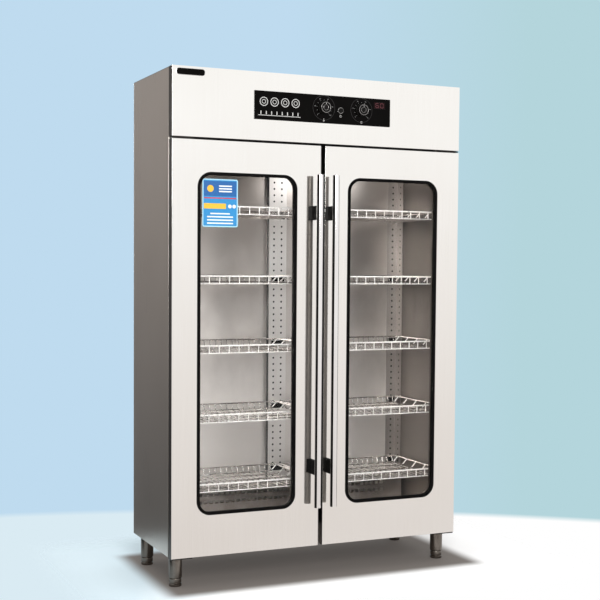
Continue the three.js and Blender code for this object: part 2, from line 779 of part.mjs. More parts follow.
// The electrical box behind the fascia, with blind bores for the shafts and the stem
function controlModule() {
  const frontY = doorFrontY + sheet + seatGap;
  const lowX = -moduleMargin;
  const highX = readoutX + moduleMargin;
  const body = boxSolid([lowX, frontY, panelCentreZ - moduleHeight / 2],
    [highX, frontY + moduleDepth, panelCentreZ + moduleHeight / 2]);
  return geometryOf(cutBy(body, ...controlHoles(frontY - cutOverrun, frontY + boreDepth, runningGap)));
}

// A rotary knob: skirt, grip with a raised pointer, and the shaft behind it
function knob(x) {
  const rearY = panelFrontY - knobClearance;
  const skirtY = rearY - knobSkirt;
  const frontY = rearY - knobLength;
  const shaftEndY = doorFrontY + sheet + boreDepth - cutOverrun;
  const skirt = solidOf(roundY(x, knobZ, knobRadius, skirtY, rearY));
  const grip = solidOf(roundY(x, knobZ, knobGripRadius, frontY, skirtY + knobSkirt / 2));
  const shaft = solidOf(roundY(x, knobZ, knobShaftRadius, rearY - knobSkirt / 2, shaftEndY, handleSides));
  const pointer = boxSolid([x - pointerWidth / 2, frontY - pointerProud, knobZ],
    [x + pointerWidth / 2, frontY + knobLength / 2, knobZ + knobGripRadius + pointerProud]);
  return geometryOf(joined(skirt, grip, shaft, pointer));
}

function powerButton() {
  const capRearY = panelFrontY - buttonProud;
  const cap = solidOf(roundY(buttonX, buttonZ, buttonRadius, capRearY - buttonHead, capRearY));
  const stem = solidOf(roundY(buttonX, buttonZ, buttonStemRadius, capRearY - buttonHead / 2,
    doorFrontY + sheet + buttonStem, handleSides));
  return geometryOf(joined(cap, stem));
}

addPiece('fascia', fascia(), 'polishedSteel');
addPiece('control_panel', controlPanel(), 'glossBlack');
addPiece('display_window', displayWindow(), 'redLens');
addPiece('control_module', controlModule(), 'blackPlastic');
addPiece('temperature_knob', knob(knobXs.temperature), 'blackPlastic');
addPiece('timer_knob', knob(knobXs.timer), 'blackPlastic');
addPiece('power_button', powerButton(), 'blackPlastic');

const doorCentreX = (side) => side * (doorGap / 2 + doorWidth / 2);
const windowCentreZ = underZ + windowBottomRail + windowHeight / 2;
const pivotX = (side) => side * (halfWidth - pivotInset);
const pivotY = doorFrontY + pivotSetback;

// An outline that follows the window's edge, larger by a margin on every side
function windowOutline(side, margin) {
  return roundedRectangle(doorCentreX(side), windowCentreZ, windowWidth + margin * 2,
    windowHeight + margin * 2, windowRadius + margin);
}

const windowPlate = (side, margin, frontY, rearY) =>
  solidOf(plateAlongY(windowOutline(side, margin), frontY, rearY - frontY));

// A door is a hollow folded shell round the window, with a socket for a pivot pin at each end
function doorFrame(side) {
  const rearY = doorFrontY + doorThickness;
  const nearX = side * doorGap / 2;
  const farX = side * halfWidth;
  const lowX = Math.min(nearX, farX);
  const highX = Math.max(nearX, farX);
  const lowZ = underZ + seatGap;
  const shell = boxSolid([lowX, doorFrontY, lowZ], [highX, rearY, doorTopZ]);
  const hollow = boxSolid([lowX + sheet, doorFrontY + sheet, lowZ + sheet],
    [highX - sheet, rearY - sheet, doorTopZ - sheet]);
  const core = windowPlate(side, sheet, doorFrontY, rearY);
  const window = windowPlate(side, 0, doorFrontY - cutOverrun, rearY + cutOverrun);
  const socketRadius = pivotPinRadius + runningGap;
  const sockets = [lowZ, doorTopZ].map((z) => solidOf(roundZ(pivotX(side), pivotY, socketRadius,
    z - sheet - cutOverrun, z + sheet + cutOverrun, handleSides)));
  return geometryOf(cutBy(shell, cutBy(hollow, core), window, ...sockets));
}

// The glazing seal grips the window's edge outside and the pane inside
function windowSeal(side) {
  const lipFrontY = doorFrontY - seatGap - sealLipThickness;
  const glassFrontY = doorFrontY + sealWeb - seatGap;
  const glassRearY = glassFrontY + glassThickness + seatGap * 2;
  const lip = windowPlate(side, sealLip, lipFrontY, doorFrontY - seatGap);
  const web = windowPlate(side, -seatGap, lipFrontY + sealLipThickness / 2, glassRearY + sealRearLip);
  const sight = windowPlate(side, -sealLip, lipFrontY - cutOverrun, glassRearY + sealRearLip + cutOverrun);
  const groove = windowPlate(side, glassBite + seatGap - sealLip, glassFrontY, glassRearY);
  return geometryOf(cutBy(joined(lip, web), sight, groove));
}

function windowGlass(side) {
  return plateAlongY(windowOutline(side, glassBite - sealLip), doorFrontY + sealWeb, glassThickness);
}

// The magnetic gasket runs round the door's rear face and meets the carcass
function doorGasket(side) {
  const frontY = doorFrontY + doorThickness + seatGap;
  const rearY = carcassFrontY - seatGap;
  const nearX = side * (doorGap / 2 + gasketInset);
  const farX = side * (halfWidth - gasketInset);
  const lowX = Math.min(nearX, farX);
  const highX = Math.max(nearX, farX);
  const lowZ = underZ + gasketInset;
  const highZ = doorTopZ - gasketInset;
  const outer = boxSolid([lowX, frontY, lowZ], [highX, rearY, highZ]);
  const inner = boxSolid([lowX + gasketWidth, frontY - cutOverrun, lowZ + gasketWidth],
    [highX - gasketWidth, rearY + cutOverrun, highZ - gasketWidth]);
  return geometryOf(cutBy(outer, inner));
}

// A long round bar that stands off the door on two blocks
function doorHandle(side) {
  const x = side * handleSpacing / 2;
  const barY = doorFrontY - handleReach + handleDiameter / 2;
  const bar = solidOf(roundZ(x, barY, handleDiameter / 2, handleLowZ, handleHighZ, handleSides));
  const blockFrontY = barY + handleDiameter / 2 - blockBite;
  const blocks = [handleLowZ + blockEndDistance, handleHighZ - blockEndDistance].map((z) => boxSolid(
    [x - blockWidth / 2, blockFrontY, z - blockHeight / 2],
    [x + blockWidth / 2, doorFrontY - seatGap, z + blockHeight / 2]));
  return geometryOf(joined(bar, ...blocks));
}

// A pivot bracket: a plate past the door's end with a pin into it, and a tab behind the door that is
// fixed to the carcass. The tab stops short of the corner that swings back as the door opens.
function pivotBracket(side, atTop) {
  const farX = side * (halfWidth - hingePlateInset);
  const nearX = farX - side * hingePlateLength;
  const tabFarX = nearX + side * hingeTabLength;
  const inwards = atTop ? -1 : 1;
  const doorEndZ = atTop ? doorTopZ : underZ + seatGap;
  const plateLowZ = atTop ? doorTopZ + (fasciaGap - hingePlate) / 2 : underZ - seatGap - hingePlate;
  const plateMidZ = plateLowZ + hingePlate / 2;
  const tabEndZ = doorEndZ + inwards * hingeTabHeight;
  const pinEndZ = doorEndZ + inwards * pivotPinLength;
  const rearY = carcassFrontY - seatGap;
  const plate = boxSolid([Math.min(nearX, farX), doorFrontY + hingePlateInset, plateLowZ],
    [Math.max(nearX, farX), rearY, plateLowZ + hingePlate]);
  const tab = boxSolid([Math.min(nearX, tabFarX), rearY - hingeTab, Math.min(plateMidZ, tabEndZ)],
    [Math.max(nearX, tabFarX), rearY, Math.max(plateMidZ, tabEndZ)]);
  const pin = solidOf(roundZ(pivotX(side), pivotY, pivotPinRadius, Math.min(plateMidZ, pinEndZ),
    Math.max(plateMidZ, pinEndZ), handleSides));
  return geometryOf(joined(plate, tab, pin));
}

for (const [name, side] of [['left', -1], ['right', 1]]) {
  addPiece(`${name}_door_frame`, doorFrame(side), 'polishedSteel');
  addPiece(`${name}_window_seal`, windowSeal(side), 'blackRubber');
  addPiece(`${name}_window_glass`, windowGlass(side), 'clearGlass');
  addPiece(`${name}_door_gasket`, doorGasket(side), 'greyGasket');
  addPiece(`${name}_handle`, doorHandle(side), 'barSteel');
  addPiece(`${name}_top_pivot`, pivotBracket(side, true), 'brushedSteel');
  addPiece(`${name}_bottom_pivot`, pivotBracket(side, false), 'brushedSteel');
}

// A tubular leg under a square plate, bored from below for the foot's stem
function leg(x, y) {
  const plateTopZ = underZ - seatGap;
  const bore = footStemRadius + runningGap;
  const tube = solidOf(turnedZ([
    [bore, legLowZ], [legRadius, legLowZ], [legRadius, plateTopZ - legPlate / 2],
    [0, plateTopZ - legPlate / 2], [0, legBoreTopZ], [bore, legBoreTopZ], [bore, legLowZ],
  ], x, y));
  const half = legPlateWidth / 2;
  const plate = boxSolid([x - half, y - half, plateTopZ - legPlate], [x + half, y + half, plateTopZ]);
  return geometryOf(joined(tube, plate));
}

// A levelling foot: a flared pad, a body that meets the leg, and a stem up into the leg
function foot(x, y) {
  const bodyTopZ = legLowZ - seatGap;
  const stemTopZ = legBoreTopZ - cutOverrun;
  return turnedZ([
    [0, 0], [footRadius, 0], [footFlare, footFlareHeight / 2], [footRadius, footFlareHeight],
    [footRadius, bodyTopZ], [footStemRadius, bodyTopZ], [footStemRadius, stemTopZ], [0, stemTopZ],
  ], x, y);
}

for (const [end, y] of [['front', doorFrontY + legInsetFront], ['rear', backY - legInsetRear]]) {
  for (const [name, side] of [['left', -1], ['right', 1]]) {
    const x = side * (halfWidth - legInsetX);
    addPiece(`${name}_${end}_leg`, leg(x, y), 'darkSteel');
    addPiece(`${name}_${end}_foot`, foot(x, y), 'darkSteel');
  }
}

export default cabinet;
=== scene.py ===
import math

import bpy
from mathutils import Matrix, Vector


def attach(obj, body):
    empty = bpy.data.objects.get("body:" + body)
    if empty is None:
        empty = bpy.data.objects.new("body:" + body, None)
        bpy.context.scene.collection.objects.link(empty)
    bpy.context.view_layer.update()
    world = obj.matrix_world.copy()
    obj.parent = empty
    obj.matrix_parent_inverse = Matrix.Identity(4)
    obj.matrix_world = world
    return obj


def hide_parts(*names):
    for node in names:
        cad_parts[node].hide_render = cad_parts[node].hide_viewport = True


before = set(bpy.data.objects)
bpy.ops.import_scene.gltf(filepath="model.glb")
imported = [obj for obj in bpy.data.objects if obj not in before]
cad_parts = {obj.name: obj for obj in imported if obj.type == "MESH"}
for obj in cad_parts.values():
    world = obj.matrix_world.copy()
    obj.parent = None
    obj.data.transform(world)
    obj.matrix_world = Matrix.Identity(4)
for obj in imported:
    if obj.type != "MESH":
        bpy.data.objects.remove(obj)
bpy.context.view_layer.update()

# A two-door dish sterilizer cabinet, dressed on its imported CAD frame. All lengths are in metres.
mm = 0.001
sides = {"left": -1, "right": 1}


def clearSelection():
    active = bpy.context.view_layer.objects.active
    if active and active.mode != "OBJECT":
        bpy.ops.object.mode_set(mode="OBJECT")
    bpy.ops.object.select_all(action="DESELECT")


def takeUp(*pieces):
    clearSelection()
    for piece in pieces:
        piece.select_set(True)
    bpy.context.view_layer.objects.active = pieces[0]


def settle(piece):  # its place, turn and size go into its mesh
    takeUp(piece)
    bpy.ops.object.transform_apply(location=True, rotation=True, scale=True)
    return piece


def named(piece, name):
    piece.name = piece.data.name = name
    return piece


def linked(thing):  # puts a new object into the scene
    bpy.context.scene.collection.objects.link(thing)
    return thing


def startBlock(name, low, high):
    clearSelection()
    low, high = Vector(low), Vector(high)
    bpy.ops.mesh.primitive_cube_add(size=1, location=(low + high) / 2)
    block = named(bpy.context.object, name)
    block.scale = high - low
    return settle(block)


axisTurns = {"X": (0, math.pi / 2, 0), "Y": (math.pi / 2, 0, 0), "Z": (0, 0, 0)}


def startRound(name, centre, radius, length, axis="Z", steps=48):
    clearSelection()
    bpy.ops.mesh.primitive_cylinder_add(
        vertices=steps, radius=radius, depth=length, location=centre, rotation=axisTurns[axis])
    return settle(named(bpy.context.object, name))


def pickFaces(piece, test):  # opens edit mode with only the chosen faces selected
    takeUp(piece)
    bpy.ops.object.mode_set(mode="EDIT")
    bpy.ops.mesh.select_mode(type="FACE")
    bpy.ops.mesh.select_all(action="DESELECT")
    bpy.ops.object.mode_set(mode="OBJECT")
    for face in piece.data.polygons:
        face.select = bool(test(face))
    bpy.ops.object.mode_set(mode="EDIT")


def openEdit(mode=None):  # edit mode with everything selected
    bpy.ops.object.mode_set(mode="EDIT")
    if mode:
        bpy.ops.mesh.select_mode(type=mode)
    bpy.ops.mesh.select_all(action="SELECT")


def closeEdit(piece):
    bpy.ops.object.mode_set(mode="OBJECT")
    return piece


def facing(direction):
    direction = Vector(direction)
    return lambda face: face.normal.dot(direction) > 0.99


def draw(offset):  # extrudes what is selected by an offset
    bpy.ops.mesh.extrude_region_move(
        TRANSFORM_OT_translate={"value": Vector(offset), "orient_type": "GLOBAL"})


def turnOutwards():
    bpy.ops.mesh.select_all(action="SELECT")
    bpy.ops.mesh.normals_make_consistent(inside=False)


def applied(piece, kind, **settings):
    takeUp(piece)
    modifier = piece.modifiers.new(kind.lower(), kind)
    for key, value in settings.items():
        setattr(modifier, key, value)
    bpy.ops.object.modifier_apply(modifier=modifier.name)
    return piece


def eased(piece, width, steps=2, angle=30):  # rounds the sharp edges
    applied(piece, "BEVEL", width=width, segments=steps, limit_method="ANGLE",
            angle_limit=math.radians(angle), use_clamp_overlap=True)
    return smoothed(piece)


def smoothed(piece, angle=38):
    takeUp(piece)
    bpy.ops.object.shade_smooth_by_angle(angle=math.radians(angle))
    return piece


def cutWith(piece, cutter, operation="DIFFERENCE"):
    applied(piece, "BOOLEAN", object=cutter, operation=operation, solver="EXACT")
    bpy.data.objects.remove(cutter, do_unlink=True)
    return piece


def repeated(piece, count, offset):
    return applied(piece, "ARRAY", count=count, use_relative_offset=False, use_constant_offset=True,
                   constant_offset_displace=Vector(offset))


def merged(name, *pieces):
    takeUp(*pieces)
    if len(pieces) > 1:
        bpy.ops.object.join()
    return named(bpy.context.object, name)


def twinOf(piece, name):
    twin = linked(piece.copy())
    twin.data = piece.data.copy()
    return named(twin, name)


def copyOf(piece, name, shift):
    twin = twinOf(piece, name)
    twin.location = Vector(shift)
    return settle(twin)


def mirrorOf(piece, name):  # the same piece on the other side of the cabinet
    twin = twinOf(piece, name)
    twin.scale = (-1, 1, 1)
    settle(twin)
    bpy.ops.object.mode_set(mode="EDIT")
    turnOutwards()
    return closeEdit(twin)


def outlinePlane(name, centre, size, radius, y, steps):  # a rounded outline that faces the front
    clearSelection()
    bpy.ops.mesh.primitive_plane_add(
        size=1, location=(centre[0], y, centre[1]), rotation=(math.pi / 2, 0, 0))
    plane = named(bpy.context.object, name)
    plane.scale = (size[0], size[1], 1)
    settle(plane)
    openEdit()
    bpy.ops.mesh.bevel(offset_type="OFFSET", offset=radius, segments=steps, affect="VERTICES")
    bpy.ops.mesh.select_mode(type="FACE")
    bpy.ops.mesh.select_all(action="SELECT")
    return plane


def roundedPlate(name, centre, size, radius, nearY, farY, steps=12):
    plate = outlinePlane(name, centre, size, radius, nearY, steps)
    draw((0, farY - nearY, 0))
    turnOutwards()
    return closeEdit(plate)


def band(ring, width, depth):  # turns the face being edited into a closed band along its outline
    bpy.ops.mesh.inset(thickness=width)
    bpy.ops.mesh.delete(type="FACE")
    bpy.ops.mesh.select_all(action="SELECT")
    draw((0, depth, 0))
    turnOutwards()
    return closeEdit(ring)


def roundedRing(name, centre, size, radius, width, nearY, farY, steps=12):
    return band(outlinePlane(name, centre, size, radius, nearY, steps), width, farY - nearY)


def discFace(name, centre, radius, along, steps):  # a filled circle, open for editing
    clearSelection()
    bpy.ops.mesh.primitive_circle_add(
        vertices=steps, radius=radius, fill_type="NGON", location=centre, rotation=axisTurns[along])
    disc = settle(named(bpy.context.object, name))
    openEdit("FACE")
    return disc


def turned(name, foot, axis, rings, steps=48):  # (radius, height) rings drawn up an axis
    foot, axis = Vector(foot), Vector(axis)
    along = "X" if abs(axis.x) else "Y" if abs(axis.y) else "Z"
    piece = discFace(name, foot + axis * rings[0][1], rings[0][0], along, steps)
    for (oldRadius, oldHeight), (radius, height) in zip(rings, rings[1:]):
        draw(axis * (height - oldHeight))
        ratio = radius / oldRadius
        if abs(ratio - 1) > 1e-6:
            bpy.ops.transform.resize(value=(ratio, ratio, ratio), center_override=foot + axis * height)
    turnOutwards()
    closeEdit(piece)
    return smoothed(piece)


def washer(name, centre, outerRadius, width, nearY, farY, steps=64):
    return band(discFace(name, (centre[0], nearY, centre[1]), outerRadius, "Y", steps), width, farY - nearY)


def wireTube(wire, diameter, roundness=2):  # its edges become a round wire
    bpy.ops.object.mode_set(mode="OBJECT")
    bpy.ops.object.convert(target="CURVE")
    curve = bpy.context.object.data
    curve.dimensions = "3D"
    curve.bevel_depth = diameter / 2
    curve.bevel_resolution = roundness
    curve.use_fill_caps = True
    bpy.ops.object.convert(target="MESH")
    tube = settle(named(bpy.context.object, wire.name))
    openEdit()
    bpy.ops.mesh.remove_doubles(threshold=0.005 * mm)
    turnOutwards()
    closeEdit(tube)
    return smoothed(tube, 50)


def rod(name, points, diameter, bend=0, bendSteps=4, roundness=2):  # a round wire through points
    clearSelection()
    points = [Vector(point) for point in points]
    bpy.ops.mesh.primitive_plane_add(size=diameter, location=points[0])
    wire = settle(named(bpy.context.object, name))
    openEdit("VERT")
    bpy.ops.mesh.merge(type="CENTER")
    for start, end in zip(points, points[1:]):
        draw(end - start)
    if bend:
        bpy.ops.object.mode_set(mode="OBJECT")
        ends = [min(wire.data.vertices, key=lambda v: (v.co - tip).length).index
                for tip in (points[0], points[-1])]
        for vertex in wire.data.vertices:
            vertex.select = vertex.index not in ends
        bpy.ops.object.mode_set(mode="EDIT")
        bpy.ops.mesh.bevel(offset=bend, segments=bendSteps, affect="VERTICES")
    return wireTube(wire, diameter, roundness)


def hoop(name, low, high, z, diameter, corner, roundness=2):  # a closed level wire
    clearSelection()
    bpy.ops.mesh.primitive_plane_add(size=1, location=((low[0] + high[0]) / 2, (low[1] + high[1]) / 2, z))
    wire = named(bpy.context.object, name)
    wire.scale = (high[0] - low[0], high[1] - low[1], 1)
    settle(wire)
    openEdit()
    bpy.ops.mesh.bevel(offset=corner, segments=5, affect="VERTICES")
    bpy.ops.mesh.select_all(action="SELECT")
    bpy.ops.mesh.delete(type="ONLY_FACE")
    return wireTube(wire, diameter, roundness)


def softened(node, name, edge, steps=2, angle=30):  # a CAD solid's copy with its edges rounded
    piece = named(linked(bpy.data.objects.new(name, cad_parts[node].data.copy())), name)
    takeUp(piece)
    bpy.ops.mesh.customdata_custom_splitnormals_clear()
    openEdit()
    bpy.ops.mesh.remove_doubles(threshold=0.01 * mm)
    bpy.ops.mesh.dissolve_limited(angle_limit=math.radians(0.5))
    closeEdit(piece)
    return eased(piece, edge, steps, angle) if edge else piece


def finished(piece, material, body, slotName, *stoodFor):
    applied(piece, "WEIGHTED_NORMAL", weight=50, keep_sharp=True)  # flat faces stay flat beside round edges
    piece.data.materials.clear()
    piece.data.materials.append(material)
    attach(piece, body)
    if stoodFor:
        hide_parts(*stoodFor)
    return piece


def alsoFaced(piece, material, test):  # a second finish on some faces of a finished piece
    piece.data.materials.append(material)
    for face in piece.data.polygons:
        if test(face):
            face.material_index = len(piece.data.materials) - 1
    return piece


def onBothDoors(piece, material, slotName, nodeEnding):  # finishes the left door's piece and its mirror twin
    twin = mirrorOf(piece, piece.name.replace("left", "right"))
    finished(twin, material, "right_door", slotName, "right_" + nodeEnding)
    finished(piece, material, "left_door", slotName, "left_" + nodeEnding)
    return piece, twin


# The photograph's view: a long lens, a little above the middle of the doors, from the front left
view = {
    "yaw": math.radians(24.268),
    "pitch": math.radians(-2.898),
    "roll": math.radians(0.418),
    "place": (-2.0122, -4.4008, 1.2158),
    "lens": 71.316,
    "sensor": 36,
    "shift": (0.01317, 0.04467),
    "clipEnd": 60,
}


def placeCamera():
    data = bpy.data.cameras.new("photo_view")
    camera = linked(bpy.data.objects.new("photo_view", data))
    yaw, pitch, roll = view["yaw"], view["pitch"], view["roll"]
    ahead = Vector((math.sin(yaw) * math.cos(pitch), math.cos(yaw) * math.cos(pitch), math.sin(pitch)))
    level = Vector((math.cos(yaw), -math.sin(yaw), 0))
    above = level.cross(ahead)
    across = level * math.cos(roll) + above * math.sin(roll)
    upright = above * math.cos(roll) - level * math.sin(roll)
    turn = Matrix((across, upright, -ahead)).transposed()
    camera.matrix_world = Matrix.Translation(view["place"]) @ turn.to_4x4()
    data.sensor_width = view["sensor"]
    data.lens = view["lens"]
    data.shift_x, data.shift_y = view["shift"]
    data.clip_end = view["clipEnd"]
    bpy.context.scene.camera = camera


placeCamera()
print("camera placed")


def linear(hexColour):  # a written sRGB colour as the shader wants it
    channels = [int(hexColour[start:start + 2], 16) / 255 for start in (1, 3, 5)]
    return [c / 12.92 if c <= 0.04045 else ((c + 0.055) / 1.055) ** 2.4 for c in channels] + [1]


def addNode(tree, kind, settings=None, links=None):
    node = tree.nodes.new(kind)
    for key, value in (settings or {}).items():
        if isinstance(key, int) or key in node.inputs:
            node.inputs[key].default_value = value
        else:
            setattr(node, key, value)
    for key, source in (links or {}).items():
        tree.links.new(source, node.inputs[key])
    return node


def startMaterial(name):
    material = bpy.data.materials.new(name)
    material.use_nodes = True
    tree = material.node_tree
    tree.nodes.clear()
    shader = addNode(tree, "ShaderNodeBsdfPrincipled")
    addNode(tree, "ShaderNodeOutputMaterial", links={"Surface": shader.outputs[0]})
    return material, tree, shader


def grainOf(tree, size, detail=3.0, roughness=0.6):  # noise whose grain is given in mm along each axis
    place = addNode(tree, "ShaderNodeTexCoord")
    mapping = addNode(tree, "ShaderNodeMapping", {"Scale": [1000 / length for length in size]},
                      {"Vector": place.outputs["Object"]})
    return addNode(tree, "ShaderNodeTexNoise", {"Scale": 1.0, "Detail": detail, "Roughness": roughness},
                   {"Vector": mapping.outputs[0]}).outputs[0]


noiseSpan = {1: 0.35, 2: 0.65}  # where most of the noise lies, spread to the whole range


def tone(tree, shader, pattern, colours, roughness):  # colour and gloss follow one pattern together
    spread = addNode(tree, "ShaderNodeMapRange", noiseSpan, {0: pattern}).outputs[0]
    colour = addNode(tree, "ShaderNodeMix", {
        "data_type": "RGBA", 6: linear(colours[0]), 7: linear(colours[1])}, {0: spread})
    gloss = addNode(tree, "ShaderNodeMapRange", {3: roughness[0], 4: roughness[1]}, {0: spread})
    tree.links.new(colour.outputs[2], shader.inputs["Base Color"])
    tree.links.new(gloss.outputs[0], shader.inputs["Roughness"])


def sheetMetal(name, colours, roughness, grain, cloud, depth=0.02, strength=0.25, metallic=1.0, paintedShadeHeights=None):
    # Rolled or drawn metal: lines one way, drawn coarser than real polishing lines so that they show, over
    # slow clouds of tone from rolling and handling. Grain, cloud and depth are in mm. Where two heights are given
    # for painted shade, the metal is painted darker from the first height up to the second, and lighter low down
    paintedShadeShare = 0.6
    material, tree, shader = startMaterial(name)
    lines = grainOf(tree, grain)
    clouds = grainOf(tree, (cloud, cloud, cloud), 2.0, 0.45)
    both = addNode(tree, "ShaderNodeMath", {"operation": "ADD"}, {0: lines, 1: clouds})
    half = addNode(tree, "ShaderNodeMath", {"operation": "MULTIPLY", 1: 0.5}, {0: both.outputs[0]})
    if paintedShadeHeights:
        place = addNode(tree, "ShaderNodeTexCoord")
        parts = addNode(tree, "ShaderNodeSeparateXYZ", {}, {0: place.outputs["Object"]})
        height = addNode(tree, "ShaderNodeMapRange", {1: paintedShadeHeights[0], 2: paintedShadeHeights[1], 3: paintedShadeShare, 4: 0.0},
                         {0: parts.outputs[2]})
        half = addNode(tree, "ShaderNodeMath", {"operation": "MULTIPLY_ADD", 1: 1 - paintedShadeShare},
                       {0: half.outputs[0], 2: height.outputs[0]})
    tone(tree, shader, half.outputs[0], colours, roughness)
    bump = addNode(tree, "ShaderNodeBump", {"Strength": strength, "Distance": depth * mm}, {"Height": lines})
    tree.links.new(bump.outputs[0], shader.inputs["Normal"])
    shader.inputs["Metallic"].default_value = metallic
    return material


def moulding(name, colours, roughness, grain, depth=0.05, strength=0.3, ior=1.46, specular=0.5):
    # Moulded rubber, plastic or paint: one colour with an even grain from the tool, drawn coarser than the
    # real one so that it shows close up
    material, tree, shader = startMaterial(name)
    slow = grainOf(tree, (grain * 40, grain * 40, grain * 40), 2.0)
    tone(tree, shader, slow, colours, roughness)
    grains = grainOf(tree, (grain, grain, grain))
    bump = addNode(tree, "ShaderNodeBump", {"Strength": strength, "Distance": depth * mm}, {"Height": grains})
    tree.links.new(bump.outputs[0], shader.inputs["Normal"])
    shader.inputs["IOR"].default_value = ior
    shader.inputs["Specular IOR Level"].default_value = specular
    return material


def printedInk(name, colours, roughness=0.35, glow=0.0):
    # Screen-printed ink or vinyl: even colour with slightly uneven sheen
    material, tree, shader = startMaterial(name)
    tone(tree, shader, grainOf(tree, (6, 6, 6)), colours, (roughness - 0.06, roughness + 0.06))
    if glow:
        shader.inputs["Emission Color"].default_value = linear(colours[0])
        shader.inputs["Emission Strength"].default_value = glow
    return material


def windowGlass(name):
    # Tempered float glass, clear and hardly tinted, with lamps let through to the inside. Its IOR is under
    # the usual 1.52, because the real panes show next to no mirror image
    material, tree, shader = startMaterial(name)
    shader.inputs["Base Color"].default_value = linear("#FBFCFC")
    shader.inputs["Transmission Weight"].default_value = 1
    shader.inputs["IOR"].default_value = 1.2
    smears = grainOf(tree, (260, 260, 260))
    gloss = addNode(tree, "ShaderNodeMapRange", {**noiseSpan, 3: 0.0, 4: 0.004}, {0: smears})
    tree.links.new(gloss.outputs[0], shader.inputs["Roughness"])
    path = addNode(tree, "ShaderNodeLightPath")
    clear = addNode(tree, "ShaderNodeBsdfTransparent", {"Color": linear("#F8FAFA")})
    mix = addNode(tree, "ShaderNodeMixShader", links={
        0: path.outputs["Is Shadow Ray"], 1: shader.outputs[0], 2: clear.outputs[0]})
    output = next(node for node in tree.nodes if node.type == "OUTPUT_MATERIAL")
    tree.links.new(mix.outputs[0], output.inputs["Surface"])
    return material


fineLines = {"depth": 0.006, "strength": 0.1}  # cold-rolled sheet, nearly smooth

# Polished ferritic stainless sheet, grained upright: a bright front with a soft mirror
doorSteel = sheetMetal("polished_stainless_sheet", ("#F6F3EE", "#FBF9F5"), (0.07, 0.12), (1.6, 1.6, 260), 420,
                       depth=0.008, strength=0.1)
# The same sheet left brushed on the sides, back and roof, duller and streaked along its grain
brushedSteel = sheetMetal("brushed_stainless_sheet", ("#D0C8C0", "#D8D0C8"), (0.27, 0.32), (1.4, 1.4, 320), 380,
                          **fineLines)
# Mill-finish stainless of the lining: cloudy, with a wide soft gleam, and painted shade that makes it darker higher
# up and lighter low down
innerSteel = sheetMetal("mill_finish_stainless", ("#BCB4AE", "#E2DBD6"), (0.31, 0.43), (60, 60, 90), 300,
                        paintedShadeHeights=(0.30, 1.60), **fineLines)
# The same lining on the side walls, painted darker all over as shade, and also painted darker higher up
shadedWallSteel = sheetMetal("mill_finish_stainless_painted_shade", ("#4A443F", "#7A736D"), (0.28, 0.40), (60, 60, 90), 240,
                       paintedShadeHeights=(0.35, 1.50), **fineLines)
# The heater's cover, the same sheet painted darker as shade low in the cavity
shadedCoverSteel = sheetMetal("heater_cover_painted_shade", ("#847C76", "#A29A94"), (0.30, 0.42), (60, 60, 90), 160,
                        **fineLines)
# Rolled strip of the perforated posts, brighter than the lining
postSteel = sheetMetal("rolled_stainless_strip", ("#DDD7D2", "#ECE8E5"), (0.34, 0.44), (1.2, 1.2, 150), 160,
                       **fineLines)
# Stainless corner strip, rolled: a middle grey that blurs, painted darker as the shade of the sides
shadedRackSteel = sheetMetal("rolled_strip_painted_shade", ("#9D9691", "#ADA6A1"), (0.36, 0.46), (6, 6, 90), 120,
                       **fineLines)
# Heat-tinted base sheet
floorSteel = sheetMetal("heat_tinted_stainless", ("#A39C96", "#B3ACA7"), (0.28, 0.42), (160, 2, 2), 200)
# Drawn tube of the legs, grey and with a narrow gleam down its side
legSteel = sheetMetal("drawn_stainless_tube", ("#605953", "#78716A"), (0.16, 0.26), (1.0, 1.0, 120), 60,
                      depth=0.01, strength=0.15)
# Mirror-polished tube of the two long handles
barSteel = sheetMetal("mirror_polished_tube", ("#F2F0EE", "#FBFAF9"), (0.05, 0.10), (0.8, 0.8, 400), 300,
                      depth=0.01, strength=0.12)
# Bright chromium plate on drawn wire
wireChrome = sheetMetal("chromed_wire", ("#BDB6B1", "#E0DBD7"), (0.18, 0.28), (8, 8, 8), 60,
                        depth=0.01, strength=0.1)
# Painted highlight: the same plating, paler and less of a mirror, on chosen wires, so that they gleam white all along
highlightWireChrome = sheetMetal("chromed_rim_wire", ("#E9E2DD", "#F3EEEA"), (0.26, 0.34), (8, 8, 8), 60,
                       depth=0.01, strength=0.1, metallic=0.4)
# Zinc-plated screws and small steel hardware
screwSteel = sheetMetal("plated_screw_steel", ("#A7A39E", "#BDB9B4"), (0.22, 0.34), (0.6, 0.6, 0.6), 12)
# Returned edges of the fronts and the cut edges round the windows, painted dark as shade
shadedEdgeSteel = sheetMetal("sheared_edge_steel", ("#453F3B", "#57504B"), (0.30, 0.42), (1.2, 1.2, 40), 60)
# Hinge plates, near-black as painted shade in the gaps where they sit
shadedHingeSteel = sheetMetal("blackened_hinge_steel", ("#2B2826", "#3A3633"), (0.36, 0.48), (1.2, 1.2, 12), 30)
# The side of a handle tube that faces its door: rougher, and mid grey as painted shade, so that the door mirrors a
# dark band beside the tube
shadedTubeBack = sheetMetal("unpolished_tube_back", ("#7B7876", "#8B8886"), (0.48, 0.60), (1.0, 1.0, 60), 80)
# The flanks between a tube's bright front and its back, and the sides of the centre post: near-black painted shade
shadedFlankSteel = sheetMetal("flank_painted_shade", ("#1E1C1B", "#2A2827"), (0.30, 0.40), (1.0, 1.0, 60), 80)
# Heating tube oxidised straw to brown by use
heaterTube = sheetMetal("oxidised_heating_tube", ("#5E5148", "#7C6A5B"), (0.38, 0.52), (12, 12, 12), 40)
# Satin trim rings on the knobs and the button
trimMetal = sheetMetal("satin_trim_metal", ("#8D8A88", "#A5A2A0"), (0.22, 0.32), (0.5, 0.5, 0.5), 10)
# Grey paint on the cast motor housing, lightly pebbled
motorPaint = moulding("painted_casting", ("#3B3D3E", "#45484A"), (0.42, 0.55), 1.2, depth=0.12, strength=0.4)
